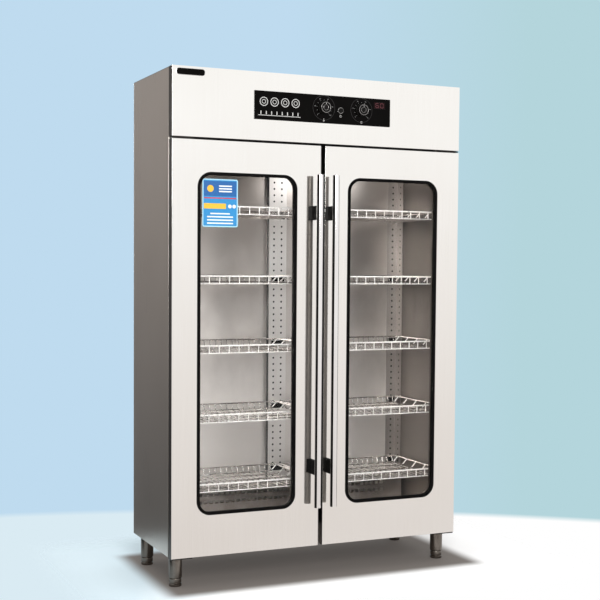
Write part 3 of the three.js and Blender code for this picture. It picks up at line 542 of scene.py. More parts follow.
# Smoked acrylic of the control panel: deep black with a hard gloss
hardGloss = {"depth": 0.01, "strength": 0.05, "ior": 1.49}
panelAcrylic = moulding("gloss_black_acrylic", ("#070605", "#0A0908"), (0.05, 0.09), 2.0, specular=0.04,
                        **hardGloss)
# Smoked red filter under the figures
redFilter = moulding("smoked_red_acrylic", ("#150405", "#1C0607"), (0.06, 0.10), 2.0, specular=0.12, **hardGloss)
# Extruded rubber glazing seal: black, slightly waxy
sealRubber = moulding("extruded_black_rubber", ("#040303", "#080707"), (0.42, 0.55), 0.8, depth=0.03,
                      ior=1.5, specular=0.06)
# Soft magnetic gasket, charcoal and matt
gasketRubber = moulding("magnetic_gasket_rubber", ("#232221", "#2C2B2A"), (0.6, 0.72), 1.0, strength=0.35,
                        ior=1.5, specular=0.4)
# Moulded ABS of the knobs and button
blackPlastic = moulding("moulded_black_plastic", ("#0B0A09", "#110F0E"), (0.34, 0.44), 0.6, depth=0.04,
                        strength=0.35, ior=1.53, specular=0.1)
# Glass-filled nylon of the handle blocks: coal black, dry and nearly without a gleam
blockPlastic = moulding("glass_filled_nylon", ("#070606", "#0C0B0A"), (0.55, 0.68), 0.8, strength=0.35,
                        ior=1.4, specular=0.02)
# Nylon of the cable gland
glandNylon = moulding("grey_nylon", ("#3A3A39", "#434342"), (0.45, 0.55), 0.9, ior=1.53)
# Lit figures, print on the panel, and the inks of the window sticker
litFigures = printedInk("lit_red_figures", ("#45121A", "#4D151E"), 0.5, 0.08)
whiteInk = printedInk("white_dial_ink", ("#C4C2BF", "#CECCC9"), 0.4)
dialInk = printedInk("dimmed_dial_ink", ("#7C7A78", "#868482"), 0.4)
greyInk = printedInk("grey_dial_ink", ("#191716", "#1E1C1B"), 0.4)
vinylBlue = printedInk("blue_vinyl", ("#2A88C2", "#2E8ECA"))
vinylDeep = printedInk("deep_blue_vinyl", ("#195A99", "#1D62A3"))
vinylPale = printedInk("pale_cyan_vinyl", ("#A9D9EA", "#B5E0EF"))
vinylWhite = printedInk("white_vinyl", ("#E4E9EB", "#EDF1F2"))
vinylYellow = printedInk("yellow_vinyl", ("#E5B536", "#EDBE40"))
vinylRed = printedInk("red_vinyl", ("#C43037", "#CE373E"))
clearGlass = windowGlass("tempered_float_glass")
print("finishes made")

# CAD solids whose shape is right keep it, and get their finish
dressed = {
    "left_window_glass": clearGlass, "right_window_glass": clearGlass,
    "left_liner": shadedWallSteel, "right_liner": shadedWallSteel, "rear_liner": innerSteel,
    "floor_liner": innerSteel, "ceiling_liner": innerSteel, "base_pan": floorSteel,
    "control_module": blackPlastic, "display_window": redFilter,
}
for nodeName, material in dressed.items():
    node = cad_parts[nodeName]
    node.data.materials.clear()
    node.data.materials.append(material)

# Sheet pieces and castings whose folds only need their real small radius
rolledEdges = {
    "left_side_panel": (0.7 * mm, brushedSteel, "brushed_steel"),
    "right_side_panel": (0.7 * mm, brushedSteel, "brushed_steel"),
    "top_panel": (0.7 * mm, brushedSteel, "brushed_steel"),
    "rear_panel": (0.5 * mm, brushedSteel, "brushed_steel"),
    "fascia": (0.7 * mm, doorSteel, "polished_steel"),
    "centre_front_post": (0.7 * mm, postSteel, "inner_steel"),
    # The pivot plates are near-black with painted shade
    "left_top_pivot": (0.6 * mm, shadedHingeSteel, "brushed_steel"),
    "right_top_pivot": (0.6 * mm, shadedHingeSteel, "brushed_steel"),
    "left_bottom_pivot": (0.6 * mm, shadedHingeSteel, "brushed_steel"),
    "right_bottom_pivot": (0.6 * mm, shadedHingeSteel, "brushed_steel"),
    "fan_motor": (0.8 * mm, motorPaint, "dark_steel"),
}
for nodeName, (edge, material, slotName) in rolledEdges.items():
    finished(softened(nodeName, nodeName + "_sheet", edge), material, "cabinet", slotName, nodeName)
fasciaSheet = bpy.data.objects["fascia_sheet"]
finished(softened("fan_impeller", "fan_impeller_wheel", 0.5 * mm), innerSteel, "fan", "inner_steel",
         "fan_impeller")
print("shell dressed")

# Door shells: folded sheet round a rounded window, with a pressed pan behind
door = {
    "low": (-0.615, -0.2195, 0.1203), "high": (-0.0095, -0.1855, 1.684),
    "windowCentre": (-0.31225, 0.921), "window": (0.394, 1.278), "corner": 0.049,
    "cut": (-0.25, -0.15), "islandCut": (-0.25, -0.10),
    "pivot": (-0.603, -0.2025), "socket": 5.3 * mm, "socketLength": 26 * mm,
    "panInset": 36 * mm, "panBorder": 26 * mm, "panCorner": 8 * mm, "panDepth": 1.2 * mm, "edge": 1.3 * mm,
    "returnWithin": 0.2 * mm, "revealWithin": 1.4 * mm, "revealFrom": -0.2185,
}


def makeDoorShell():
    shell = startBlock("left_door_shell", door["low"], door["high"])
    cutWith(shell, roundedPlate("window_cut", door["windowCentre"], door["window"], door["corner"],
                                *door["cut"], 16))
    for z in (door["low"][2], door["high"][2]):
        cutWith(shell, startRound("socket_cut", (*door["pivot"], z), door["socket"], door["socketLength"], "Z", 24))
    middle = ((door["low"][0] + door["high"][0]) / 2, (door["low"][2] + door["high"][2]) / 2)
    span = (door["high"][0] - door["low"][0], door["high"][2] - door["low"][2])
    pan = roundedPlate("pan_cut", middle, [side - 2 * door["panInset"] for side in span], door["panCorner"],
                       door["high"][1] - door["panDepth"], door["cut"][1], 4)
    cutWith(pan, roundedPlate("pan_island", door["windowCentre"],
                              [side + 2 * door["panBorder"] for side in door["window"]],
                              door["corner"] + door["panBorder"], *door["islandCut"], 16))
    cutWith(shell, pan)
    return eased(shell, door["edge"], 3)


def onReturn(face):  # the returned sides of a front
    across = abs(face.center.x)
    outer = abs(across - abs(door["low"][0])) < door["returnWithin"]
    inner = abs(across - abs(door["high"][0])) < door["returnWithin"]
    return abs(face.normal.x) > 0.9 and (outer or inner)


def onReveal(face):  # the cut edge round the window
    (centreX, centreZ), (width, height), border = door["windowCentre"], door["window"], door["revealWithin"]
    besideIt = abs(abs(face.center.x) - abs(centreX)) < width / 2 + border
    levelWithIt = abs(face.center.z - centreZ) < height / 2 + border
    return besideIt and levelWithIt and face.center.y > door["revealFrom"]


doorShells = onBothDoors(makeDoorShell(), doorSteel, "polished_steel", "door_frame")
# Painted shade: the returned sides of the fronts and the cut edges round the windows go dark
for front in (*doorShells, fasciaSheet):
    alsoFaced(front, shadedEdgeSteel, onReturn)
for shell in doorShells:
    alsoFaced(shell, shadedEdgeSteel, onReveal)
# The fascia's underside takes the black rubber as painted shade over the gap above the doors
alsoFaced(fasciaSheet, sealRubber, lambda face: face.normal.z < -0.9)

# Black strips on the cabinet's face, seen through the gaps between the doors and under the fascia: painted shade that
# makes the gaps read black
strips = {"near": -0.1816, "far": -0.1796, "edge": 0.6 * mm,
          "centre": (-0.0092, 0.0092, 0.200, 1.6855), "head": (-0.526, 0.526, 1.6845, 1.6926)}
gapShadeStrips = []
for lowX, highX, lowZ, highZ in (strips["centre"], strips["head"]):
    strip = startBlock("gap_shade_strip", (lowX, strips["near"], lowZ), (highX, strips["far"], highZ))
    gapShadeStrips.append(eased(strip, strips["edge"], 3))
finished(merged("gap_shade_strips", *gapShadeStrips), sealRubber, "cabinet", "black_rubber")

# Glazing seals: a crowned lip over the steel, and a web behind it that grips the pane's edge
seal = {
    "lip": (0.406, 1.290), "lipCorner": 0.055, "web": (0.3934, 1.2774), "webCorner": 0.0487,
    "rings": {
        "left_glazing_seal": ("lip", 12 * mm, -0.2223, -0.2198, 0.8 * mm),
        "seal_front_web": ("web", 5.5 * mm, -0.2206, -0.2148, 0.4 * mm),
        "seal_edge_band": ("web", 1.4 * mm, -0.2150, -0.2090, 0.1 * mm),
        "seal_rear_web": ("web", 5.4 * mm, -0.2092, -0.2062, 0.5 * mm),
    },
}


def makeSeal():
    rings = []
    for name, (outline, width, near, far, edge) in seal["rings"].items():
        ring = roundedRing(name, door["windowCentre"], seal[outline], seal[outline + "Corner"], width,
                           near, far, 16)
        rings.append(eased(ring, edge, 3, 50))
    return merged("left_glazing_seal", *rings)


onBothDoors(makeSeal(), sealRubber, "black_rubber", "window_seal")

# Magnetic gaskets: a soft strip with a groove down its face
gasket = {"centre": (-0.31225, 0.902), "size": (0.5775, 1.536), "width": 14 * mm,
          "near": -0.1852, "far": -0.1798, "cut": (-0.2, -0.17), "edge": 0.7 * mm,
          "grooveInset": 4.5 * mm, "grooveSlope": 0.8 * mm, "grooveDepth": 1.6 * mm}


def makeGasket():
    (x, z), (width, height), strip = gasket["centre"], gasket["size"], gasket["width"]
    ring = startBlock("left_magnetic_gasket", (x - width / 2, gasket["near"], z - height / 2),
                      (x + width / 2, gasket["far"], z + height / 2))
    cutWith(ring, startBlock("gasket_inside", (x - width / 2 + strip, gasket["cut"][0], z - height / 2 + strip),
                             (x + width / 2 - strip, gasket["cut"][1], z + height / 2 - strip)))
    pickFaces(ring, facing((0, 1, 0)))
    bpy.ops.mesh.inset(thickness=gasket["grooveInset"])
    bpy.ops.mesh.inset(thickness=gasket["grooveSlope"], depth=-gasket["grooveDepth"])
    closeEdit(ring)
    return eased(ring, gasket["edge"], 3)


onBothDoors(makeGasket(), gasketRubber, "gasket_rubber", "door_gasket")
print("doors made")

# Long round handles, each held off its door by two black blocks saddled to the tube
handle = {
    "x": -0.034, "y": -0.2665, "low": 0.280, "high": 1.569, "radius": 13 * mm, "edge": 0.7 * mm,
    "capRim": 3.2 * mm, "capSlope": 0.7 * mm, "capDepth": 1.0 * mm,
    "blocks": (0.433, 1.424), "blockWidth": 20 * mm, "blockHeight": 54 * mm, "blockEdge": 2.2 * mm,
    "blockNear": -0.2630, "blockFar": -0.2198, "saddle": 13.1 * mm, "saddleLength": 0.1,
    "flankShadeFrom": -0.76, "backShadeFrom": -0.12,
}


def makeBar():
    length = handle["high"] - handle["low"]
    centre = (handle["x"], handle["y"], (handle["low"] + handle["high"]) / 2)
    bar = startRound("left_handle_bar", centre, handle["radius"], length, "Z", 64)
    pickFaces(bar, lambda face: abs(face.normal.z) > 0.99)
    bpy.ops.mesh.inset(thickness=handle["capRim"], use_individual=True)
    bpy.ops.mesh.inset(thickness=handle["capSlope"], depth=-handle["capDepth"], use_individual=True)
    closeEdit(bar)
    return eased(bar, handle["edge"], 3, 40)


def makeHandleBlock(z):
    halfWidth, halfHeight = handle["blockWidth"] / 2, handle["blockHeight"] / 2
    block = startBlock("left_handle_block", (handle["x"] - halfWidth, handle["blockNear"], z - halfHeight),
                       (handle["x"] + halfWidth, handle["blockFar"], z + halfHeight))
    eased(block, handle["blockEdge"], 3)
    return smoothed(cutWith(block, startRound("saddle", (handle["x"], handle["y"], z), handle["saddle"],
                                              handle["saddleLength"], "Z", 64)))


handleBar = makeBar()
handleBlocks = merged("left_handle_blocks", *[makeHandleBlock(z) for z in handle["blocks"]])
for tube in onBothDoors(handleBar, barSteel, "bar_steel", "handle"):
    # Painted shade on each tube: near-black flanks
    alsoFaced(tube, shadedFlankSteel, lambda face: face.normal.y > handle["flankShadeFrom"] and abs(face.normal.z) < 0.5)
    # Painted shade on each tube: a mid-grey back toward the door
    alsoFaced(tube, shadedTubeBack, lambda face: face.normal.y > handle["backShadeFrom"] and abs(face.normal.z) < 0.5)
onBothDoors(handleBlocks, blockPlastic, "black_plastic", "handle")
print("handles made")

# Control panel: a black acrylic plate with its window, openings and print
panel = {
    "centre": (0, 1.8255), "size": (0.583, 0.108), "corner": 3 * mm, "front": -0.2223, "rear": -0.2198,
    "readout": (0.244, 1.8535), "opening": (50.6 * mm, 25.6 * mm), "openingCorner": 1 * mm, "cut": (-0.23, -0.21),
    "dials": (0, 0.16353), "dialZ": 1.830, "button": (0.0725, 1.824), "edge": 0.4 * mm,
    "shaftHole": 3.3 * mm, "stemHole": 4.3 * mm, "holeY": -0.221, "holeLength": 20 * mm,
}


def makePanel():
    plate = roundedPlate("control_panel_plate", panel["centre"], panel["size"], panel["corner"],
                         panel["front"], panel["rear"], 5)
    cutWith(plate, roundedPlate("readout_cut", panel["readout"], panel["opening"], panel["openingCorner"],
                                *panel["cut"], 3))
    holes = [(x, panel["dialZ"], panel["shaftHole"]) for x in panel["dials"]]
    for x, z, radius in (*holes, (*panel["button"], panel["stemHole"])):
        cutWith(plate, startRound("hole_cut", (x, panel["holeY"], z), radius, panel["holeLength"], "Y", 24))
    return eased(plate, panel["edge"], 2)


finished(makePanel(), panelAcrylic, "cabinet", "gloss_black", "control_panel")

# Printed ink, drawn thick enough to show: half of it stands before the plate, and rings sink a little less
ink = {"proud": 0.06 * mm, "ringSunk": 0.05 * mm}


def inkBar(name, centre, size, turn=0):  # a thin printed bar, turned about its own middle
    clearSelection()
    bpy.ops.mesh.primitive_cube_add(size=1, location=(centre[0], panel["front"], centre[1]))
    bar = named(bpy.context.object, name)
    bar.scale = (size[0], 2 * ink["proud"], size[1])
    bar.rotation_euler = (0, turn, 0)
    return settle(bar)


def inkText(name, words, centre, height):  # the numbers of a dial
    clearSelection()
    bpy.ops.object.text_add(location=(centre[0], panel["front"], centre[1]), rotation=(math.pi / 2, 0, 0))
    text = bpy.context.object.data
    text.body = words
    text.size = height
    text.align_x = text.align_y = "CENTER"
    text.extrude = ink["proud"]
    text.resolution_u = 3
    bpy.ops.object.convert(target="MESH")
    number = settle(named(bpy.context.object, name))
    openEdit()
    bpy.ops.mesh.remove_doubles(threshold=0.002 * mm)
    turnOutwards()
    return closeEdit(number)


def inkRing(name, centre, radius, width, steps=72):  # a printed circle
    return washer(name, centre, radius, width, panel["front"] - ink["proud"], panel["front"] + ink["ringSunk"],
                  steps)


dialMarks = {
    "sweep": math.radians(270), "ticks": 11, "tickRadius": 30.5 * mm, "tick": (0.9 * mm, 4.5 * mm),
    "numberRadius": 38 * mm, "numberHeight": 6.2 * mm,
    "numbers": (("0", "20", "40", "60", "80", "100"), ("0", "10", "20", "30", "40", "50")),
    "arcRadius": 47.5 * mm, "arcWidth": 1.2 * mm,
}


def makeDialPrint(index, x):
    marks = []
    for step in range(dialMarks["ticks"]):
        turn = -dialMarks["sweep"] / 2 + dialMarks["sweep"] * step / (dialMarks["ticks"] - 1)
        tickPlace, numberPlace = [(x + radius * math.sin(turn), panel["dialZ"] + radius * math.cos(turn))
                                  for radius in (dialMarks["tickRadius"], dialMarks["numberRadius"])]
        marks.append(inkBar("tick", tickPlace, dialMarks["tick"], turn))
        if step % 2 == 0:
            marks.append(inkText("number", dialMarks["numbers"][index][step // 2], numberPlace,
                                 dialMarks["numberHeight"]))
    return marks


# Plain signs under the controls: a thermometer, a clock and a power mark
signs = {
    "line": 0.9 * mm, "stem": (1.6 * mm, 8 * mm), "stemZ": 1.7860,
    "bulb": 2.6 * mm, "bulbWidth": 2.3 * mm, "bulbZ": 1.7810,
    "clock": 4.6 * mm, "clockZ": 1.7835, "hand": 2.8 * mm, "uprightHandZ": 1.7848, "levelHandX": 1.1 * mm,
    "power": 4.2 * mm, "powerZ": 1.8020, "powerBar": 4.4 * mm, "powerBarZ": 1.8050,
}


def makeSigns():
    timerX, buttonX, line = panel["dials"][1], panel["button"][0], signs["line"]
    return [
        inkBar("stem", (0, signs["stemZ"]), signs["stem"]),
        inkRing("bulb", (0, signs["bulbZ"]), signs["bulb"], signs["bulbWidth"], 24),
        inkRing("clock", (timerX, signs["clockZ"]), signs["clock"], line, 40),
        inkBar("hand", (timerX, signs["uprightHandZ"]), (line, signs["hand"])),
        inkBar("hand", (timerX + signs["levelHandX"], signs["clockZ"]), (signs["hand"], line)),
        inkRing("power", (buttonX, signs["powerZ"]), signs["power"], line, 40),
        inkBar("power_bar", (buttonX, signs["powerBarZ"]), (line, signs["powerBar"])),
    ]


# A row of plates seen from above, over a row of plates on edge in a rack
dishes = {
    "places": (-0.252, -0.208, -0.164, -0.120), "z": 1.8395,
    "rim": (17 * mm, 2.6 * mm), "well": (8.4 * mm, 2.0 * mm),
    "rackCount": 8, "rackFrom": -0.264, "rackPitch": 0.022, "rackZ": 1.7975, "onEdge": (3.4 * mm, 13 * mm),
    "rail": (176 * mm, 2.0 * mm), "railPlace": (-0.187, 1.7880),
}


def makeDishSigns():
    marks = []
    for x in dishes["places"]:
        marks.append(inkRing("plate", (x, dishes["z"]), *dishes["rim"], 56))
        marks.append(inkRing("plate_well", (x, dishes["z"]), *dishes["well"], 48))
    for place in range(dishes["rackCount"]):
        x = dishes["rackFrom"] + dishes["rackPitch"] * place
        marks.append(inkBar("rack_plate", (x, dishes["rackZ"]), dishes["onEdge"]))
    marks.append(inkBar("rack", dishes["railPlace"], dishes["rail"]))
    return marks


dialPrint = [mark for index, x in enumerate(panel["dials"]) for mark in makeDialPrint(index, x)]
finished(merged("dial_print", *dialPrint), dialInk, "cabinet", "gloss_black")
finished(merged("panel_signs", *makeSigns()), whiteInk, "cabinet", "gloss_black")
finished(merged("dish_signs", *makeDishSigns()), whiteInk, "cabinet", "gloss_black")
dialArcs = [inkRing("dial_arc", (x, panel["dialZ"]), dialMarks["arcRadius"], dialMarks["arcWidth"], 96)
            for x in panel["dials"]]
finished(merged("dial_arcs", *dialArcs), greyInk, "cabinet", "gloss_black")
print("control panel made")

# Two red figures on the filter's face, each of bars with slanted ends and a gap where they meet
figures = {
    "centres": (0.2335, 0.2545), "z": 1.8535, "width": 15 * mm, "height": 19 * mm, "bar": 2.5 * mm,
    "acrossGap": 1.15, "uprightGap": 0.65, "slant": 0.42,  # as shares of a bar's width
    "lit": ("afgedc", "abcdef"), "near": -0.2219, "far": -0.2215,
}


def makeFigure(x, lit):
    w, h, bar, z = figures["width"], figures["height"], figures["bar"], figures["z"]
    across = (w - bar * figures["acrossGap"], bar)
    upright = (bar, h / 2 - bar * figures["uprightGap"])
    places = {
        "a": ((x, z + h / 2 - bar / 2), across), "g": ((x, z), across), "d": ((x, z - h / 2 + bar / 2), across),
        "f": ((x - w / 2 + bar / 2, z + h / 4), upright), "b": ((x + w / 2 - bar / 2, z + h / 4), upright),
        "e": ((x - w / 2 + bar / 2, z - h / 4), upright), "c": ((x + w / 2 - bar / 2, z - h / 4), upright),
    }
    return [roundedPlate("figure_bar", *places[letter], bar * figures["slant"], figures["near"],
                         figures["far"], 1) for letter in lit]


litBars = [piece for x, lit in zip(figures["centres"], figures["lit"]) for piece in makeFigure(x, lit)]
finished(merged("readout_figures", *litBars), litFigures, "cabinet", "red_lens")

# Rotary knobs: a flat skirt with a satin ring, a fluted grip, a capped front and a raised pointer
knob = {
    "rear": -0.199, "skirt": 24 * mm, "grip": 22.6 * mm, "shaft": 3 * mm,
    "skirtStart": 24.1 * mm, "skirtEnd": 27.6 * mm, "gripEnd": 44.1 * mm,
    "skirtEdges": (0.6 * mm, 0.8 * mm), "gripFoot": (0.6 * mm, 0.7 * mm), "gripTaper": 0.5 * mm,
    "gripEdge": 2.2 * mm, "dish": (11.4 * mm, 10.9 * mm), "dishDepth": 0.6 * mm,
    "facets": 80, "fluteEvery": 4, "fluteWidth": 2, "fluteInset": 0.5 * mm, "fluteDepth": 0.7 * mm,
    "ringEdge": 0.3 * mm,
}
capFront = knob["rear"] - knob["gripEnd"]


def makeKnob():
    z, shaft, skirt, grip = panel["dialZ"], knob["shaft"], knob["skirt"], knob["grip"]
    start, end, top = knob["skirtStart"], knob["skirtEnd"], knob["gripEnd"]
    (rearEdge, frontEdge), (footOut, footUp) = knob["skirtEdges"], knob["gripFoot"]
    body = turned("temperature_grip", (0, knob["rear"], z), (0, -1, 0), [
        (shaft, 0), (shaft, start), (skirt - rearEdge, start), (skirt, start + rearEdge),
        (skirt, end - frontEdge), (skirt - frontEdge, end), (grip + footOut, end), (grip, end + footUp),
        (grip - knob["gripTaper"], top - knob["gripEdge"]), (grip - knob["gripEdge"], top),
        (knob["dish"][0], top), (knob["dish"][1], top - knob["dishDepth"]),
    ], knob["facets"])
    middle = knob["rear"] - (end + top) / 2

    def onFlute(face):  # two facets of every four round the grip
        turn = math.atan2(face.center.x, face.center.z - z) / math.tau
        facet = int(turn * knob["facets"] + knob["facets"])
        onGrip = abs(face.center.y - middle) < 2 * mm and abs(face.normal.y) < 0.3
        return onGrip and facet % knob["fluteEvery"] < knob["fluteWidth"]

    pickFaces(body, onFlute)
    bpy.ops.mesh.inset(thickness=knob["fluteInset"], depth=-knob["fluteDepth"])
    closeEdit(body)
    return smoothed(body, 32)


def makePointer(name, width, low, high, proud, reach, edge):  # low and high are over the dial's middle
    z = panel["dialZ"]
    bar = startBlock(name, (-width / 2, capFront - proud, z + low), (width / 2, capFront + reach, z + high))
    return eased(bar, edge, 3)


def makeKnobRing(name, radius, width, near, far, steps):  # near and far are behind the cap's front
    ring = washer(name, (0, panel["dialZ"]), radius, width, capFront + near, capFront + far, steps)
    return eased(ring, knob["ringEdge"], 2)


knobPieces = [
    (makeKnob(), blackPlastic, "black_plastic", True),
    (makePointer("temperature_pointer", width=3.4 * mm, low=12 * mm, high=17.6 * mm, proud=1.1 * mm,
                 reach=9 * mm, edge=0.8 * mm), blackPlastic, "black_plastic", True),
    (makePointer("temperature_pointer_line", width=1.6 * mm, low=12.6 * mm, high=17.0 * mm, proud=1.2 * mm,
                 reach=0.5 * mm, edge=0.1 * mm), whiteInk, "black_plastic", False),
    (makeKnobRing("temperature_ring", radius=20.4 * mm, width=1.8 * mm, near=-0.7 * mm, far=0.6 * mm, steps=80),
     trimMetal, "bar_steel", False),
    (makeKnobRing("temperature_cap_ring", radius=10.8 * mm, width=1.2 * mm, near=0.1 * mm, far=1.2 * mm, steps=64),
     trimMetal, "bar_steel", False),
]
for piece, material, slotName, standsFor in knobPieces:
    twin = copyOf(piece, piece.name.replace("temperature", "timer"), (panel["dials"][1], 0, 0))
    finished(twin, material, "timer_dial", slotName, *(["timer_knob"] if standsFor else []))
    finished(piece, material, "temperature_dial", slotName, *(["temperature_knob"] if standsFor else []))

# Push button: a dished cap on a stem, in a bright collar fixed to the panel
button = {
    "rear": -0.206, "stem": 4 * mm, "cap": 9 * mm, "capStart": 20.3 * mm, "capEnd": 23.3 * mm,
    "capEdge": 0.9 * mm, "dish": ((6.4 * mm, 0), (4.4 * mm, 0.5 * mm), (1.5 * mm, 0.8 * mm)),
    "collar": 12 * mm, "collarWidth": 2.5 * mm, "collarProud": 1.6 * mm, "collarSunk": 0.2 * mm,
    "collarEdge": 0.5 * mm,
}


def makeButton():
    (x, z), stem, cap, edge = panel["button"], button["stem"], button["cap"], button["capEdge"]
    start, end = button["capStart"], button["capEnd"]
    return turned("power_push_cap", (x, button["rear"], z), (0, -1, 0), [
        (stem, 0), (stem, start), (cap, start), (cap, end - edge), (cap - edge, end),
        *[(radius, end - depth) for radius, depth in button["dish"]],
    ], 64)


finished(makeButton(), blackPlastic, "button", "black_plastic", "power_button")
collar = washer("power_push_collar", panel["button"], button["collar"], button["collarWidth"],
                panel["front"] - button["collarProud"], panel["front"] + button["collarSunk"], 64)
finished(eased(collar, button["collarEdge"], 3), trimMetal, "cabinet", "bar_steel")
print("knobs and button made")

# A bare black plate at the fascia's upper left, in a fine bright rim
plate = {
    "centre": (-0.5435, 1.92925), "size": (0.111, 0.0245), "corner": 9.5 * mm, "near": -0.2211, "far": -0.2194,
    "edge": 0.4 * mm, "rim": 1.1 * mm, "underRim": 0.8 * mm, "rimProud": 0.2 * mm, "rimEdge": 0.2 * mm,
}
plateSize = [side - 2 * plate["underRim"] for side in plate["size"]]
blackPlate = roundedPlate("fascia_plate", plate["centre"], plateSize, plate["corner"], plate["near"], plate["far"], 5)
finished(eased(blackPlate, plate["edge"], 2), panelAcrylic, "cabinet", "gloss_black")
plateRim = roundedRing("fascia_plate_rim", plate["centre"], plate["size"], plate["corner"] + plate["underRim"],
                       plate["rim"], plate["near"] - plate["rimProud"], plate["far"], 6)
finished(eased(plateRim, plate["rimEdge"], 2), trimMetal, "cabinet", "bar_steel")

# A printed vinyl sticker on the left pane, with plates, bars and a disc in layers
sticker = {
    "low": (-0.495, 1.362), "high": (-0.353, 1.541), "near": -0.21475, "corner": 7 * mm,
    "layer": 0.08 * mm, "film": 0.10 * mm, "filmEdge": 0.04 * mm, "borderInset": 0.2 * mm, "border": 4 * mm,
    # Places in mm from the left edge, and up from the lower edge or down from the upper one
    "bandDown": 36, "band": (0.130, 0.056), "stripeDown": 71, "stripe": (0.130, 0.004),
    "barPlace": (50, 78), "bar": (0.088, 0.020), "sunPlace": (32, 36), "sun": 13 * mm,
    "rows": ((14, 104), (26, 104), (38, 104), (50, 78)), "rowHeight": 5 * mm,
    "plates": (110, 127), "plate": 7 * mm, "dishX": 92, "dishes": (26, 36, 46), "dish": (0.052, 0.005),
}


def vinyl(name, centre, size, radius, layer, steps=4):
    near = sticker["near"] - layer * sticker["layer"]
    return roundedPlate(name, centre, size, radius, near, near + sticker["film"], steps)


def vinylDisc(name, centre, radius, layer):
    near, film, edge = sticker["near"] - layer * sticker["layer"], sticker["film"], sticker["filmEdge"]
    return turned(name, (centre[0], near + film, centre[1]), (0, -1, 0),
                  [(radius, 0), (radius, film - edge), (radius - edge, film)], 40)


def makeSticker():
    (lowX, lowZ), (highX, highZ) = sticker["low"], sticker["high"]
    centre = ((lowX + highX) / 2, (lowZ + highZ) / 2)
    size = (highX - lowX, highZ - lowZ)
    field = vinyl("sticker_field", centre, size, sticker["corner"], 0, 5)
    near = sticker["near"] - sticker["layer"]
    border = roundedRing("sticker_border", centre, [side - 2 * sticker["borderInset"] for side in size],
                         sticker["corner"], sticker["border"], near, near + sticker["film"], 5)
    (barX, barUp), (sunX, sunDown) = sticker["barPlace"], sticker["sunPlace"]
    deep = [vinyl("sticker_band", (centre[0], highZ - sticker["bandDown"] * mm), sticker["band"], 3 * mm, 1)]
    yellow = [vinyl("sticker_bar", (lowX + barX * mm, lowZ + barUp * mm), sticker["bar"], 2 * mm, 1),
              vinylDisc("sticker_sun", (lowX + sunX * mm, highZ - sunDown * mm), sticker["sun"], 2)]
    white = [vinyl("sticker_row", (centre[0], lowZ + up * mm), (width * mm, sticker["rowHeight"]), 1 * mm, 1)
             for up, width in sticker["rows"]]
    white += [vinylDisc("sticker_plate", (lowX + x * mm, lowZ + barUp * mm), sticker["plate"], 1)
              for x in sticker["plates"]]
    white += [vinyl("sticker_dish", (lowX + sticker["dishX"] * mm, highZ - down * mm), sticker["dish"], 2 * mm, 2)
              for down in sticker["dishes"]]
    red = [vinyl("sticker_edge", (centre[0], highZ - sticker["stripeDown"] * mm), sticker["stripe"], 1.2 * mm, 1)]
    return [(field, vinylBlue), (border, vinylPale), (merged("sticker_deep", *deep), vinylDeep),
            (merged("sticker_yellow", *yellow), vinylYellow), (merged("sticker_white", *white), vinylWhite),
            (merged("sticker_red", *red), vinylRed)]


for piece, material in makeSticker():
    finished(piece, material, "left_door", "clear_glass")
print("sticker made")

# Wire baskets: a thick rim, stout uprights down to a front wire, cross wires that run over the floor
# and up the back, and long wires that turn up to the side rims
basket = {
    "low": (-0.583, -0.1425, 0.346), "high": (-0.007, 0.2135, 0.380), "rim": 6 * mm, "rimCorner": 14 * mm,
    "crossWire": 3.8 * mm, "crossCount": 22, "crossFrom": 26 * mm, "crossRun": (20 * mm, 13 * mm),
    "frontWireFrom": 8 * mm, "upright": 3.8 * mm, "uprightCount": 14, "uprightFrom": 22 * mm,
    "longWire": 4.6 * mm, "longPlaces": (-0.1255, -0.045, 0.0355, 0.116, 0.1965), "longRun": 25 * mm,
    "bend": 12 * mm, "rise": 0.26675, "across": 0.590, "levels": 5,
    "highlightBeyond": 0.2 * mm, "highlightUnder": 0.4 * mm, "highlightHeight": 20 * mm, "highlightEnd": 25 * mm,
}


def makeBasket():
    low, high, rimWire, bend = Vector(basket["low"]), Vector(basket["high"]), basket["rim"], basket["bend"]
    rimZ = high.z - rimWire / 2
    inset = rimWire / 2
    rim = hoop("left_tray_1", (low.x + inset, low.y + inset), (high.x - inset, high.y - inset), rimZ, rimWire,
               basket["rimCorner"], 3)
    crossZ = low.z + basket["crossWire"] / 2
    firstX, lastX = low.x + basket["crossFrom"], high.x - basket["crossFrom"]
    pitch = (lastX - firstX) / (basket["crossCount"] - 1)
    frontZ = low.z + basket["upright"] / 2
    frontRun, rearRun = basket["crossRun"]
    cross = rod("cross_wires", [
        (firstX, low.y + inset, frontZ), (firstX, low.y + frontRun, crossZ), (firstX, high.y - rearRun, crossZ),
        (firstX, high.y - inset, rimZ),
    ], basket["crossWire"], bend, 5)
    repeated(cross, basket["crossCount"], (pitch, 0, 0))
    front = rod("front_wire", [(low.x + basket["frontWireFrom"], low.y + inset, frontZ),
                               (high.x - basket["frontWireFrom"], low.y + inset, frontZ)],
                basket["upright"], 0, 5)
    uprightX = low.x + basket["uprightFrom"]
    uprights = rod("uprights", [(uprightX, low.y + inset, rimZ), (uprightX, low.y + inset, frontZ)],
                   basket["upright"], 0, 5)
    uprightPitch = (high.x - low.x - 2 * basket["uprightFrom"]) / (basket["uprightCount"] - 1)
    repeated(uprights, basket["uprightCount"], (uprightPitch, 0, 0))
    longZ, run = crossZ + (basket["crossWire"] + basket["longWire"]) / 2, basket["longRun"]
    lengthways = [rod("long_wire", [
        (low.x + inset, y, rimZ), (low.x + run, y, longZ), (high.x - run, y, longZ), (high.x - inset, y, rimZ),
    ], basket["longWire"], bend, 5) for y in basket["longPlaces"]]
    return merged("left_tray_1", rim, cross, front, uprights, *lengthways)


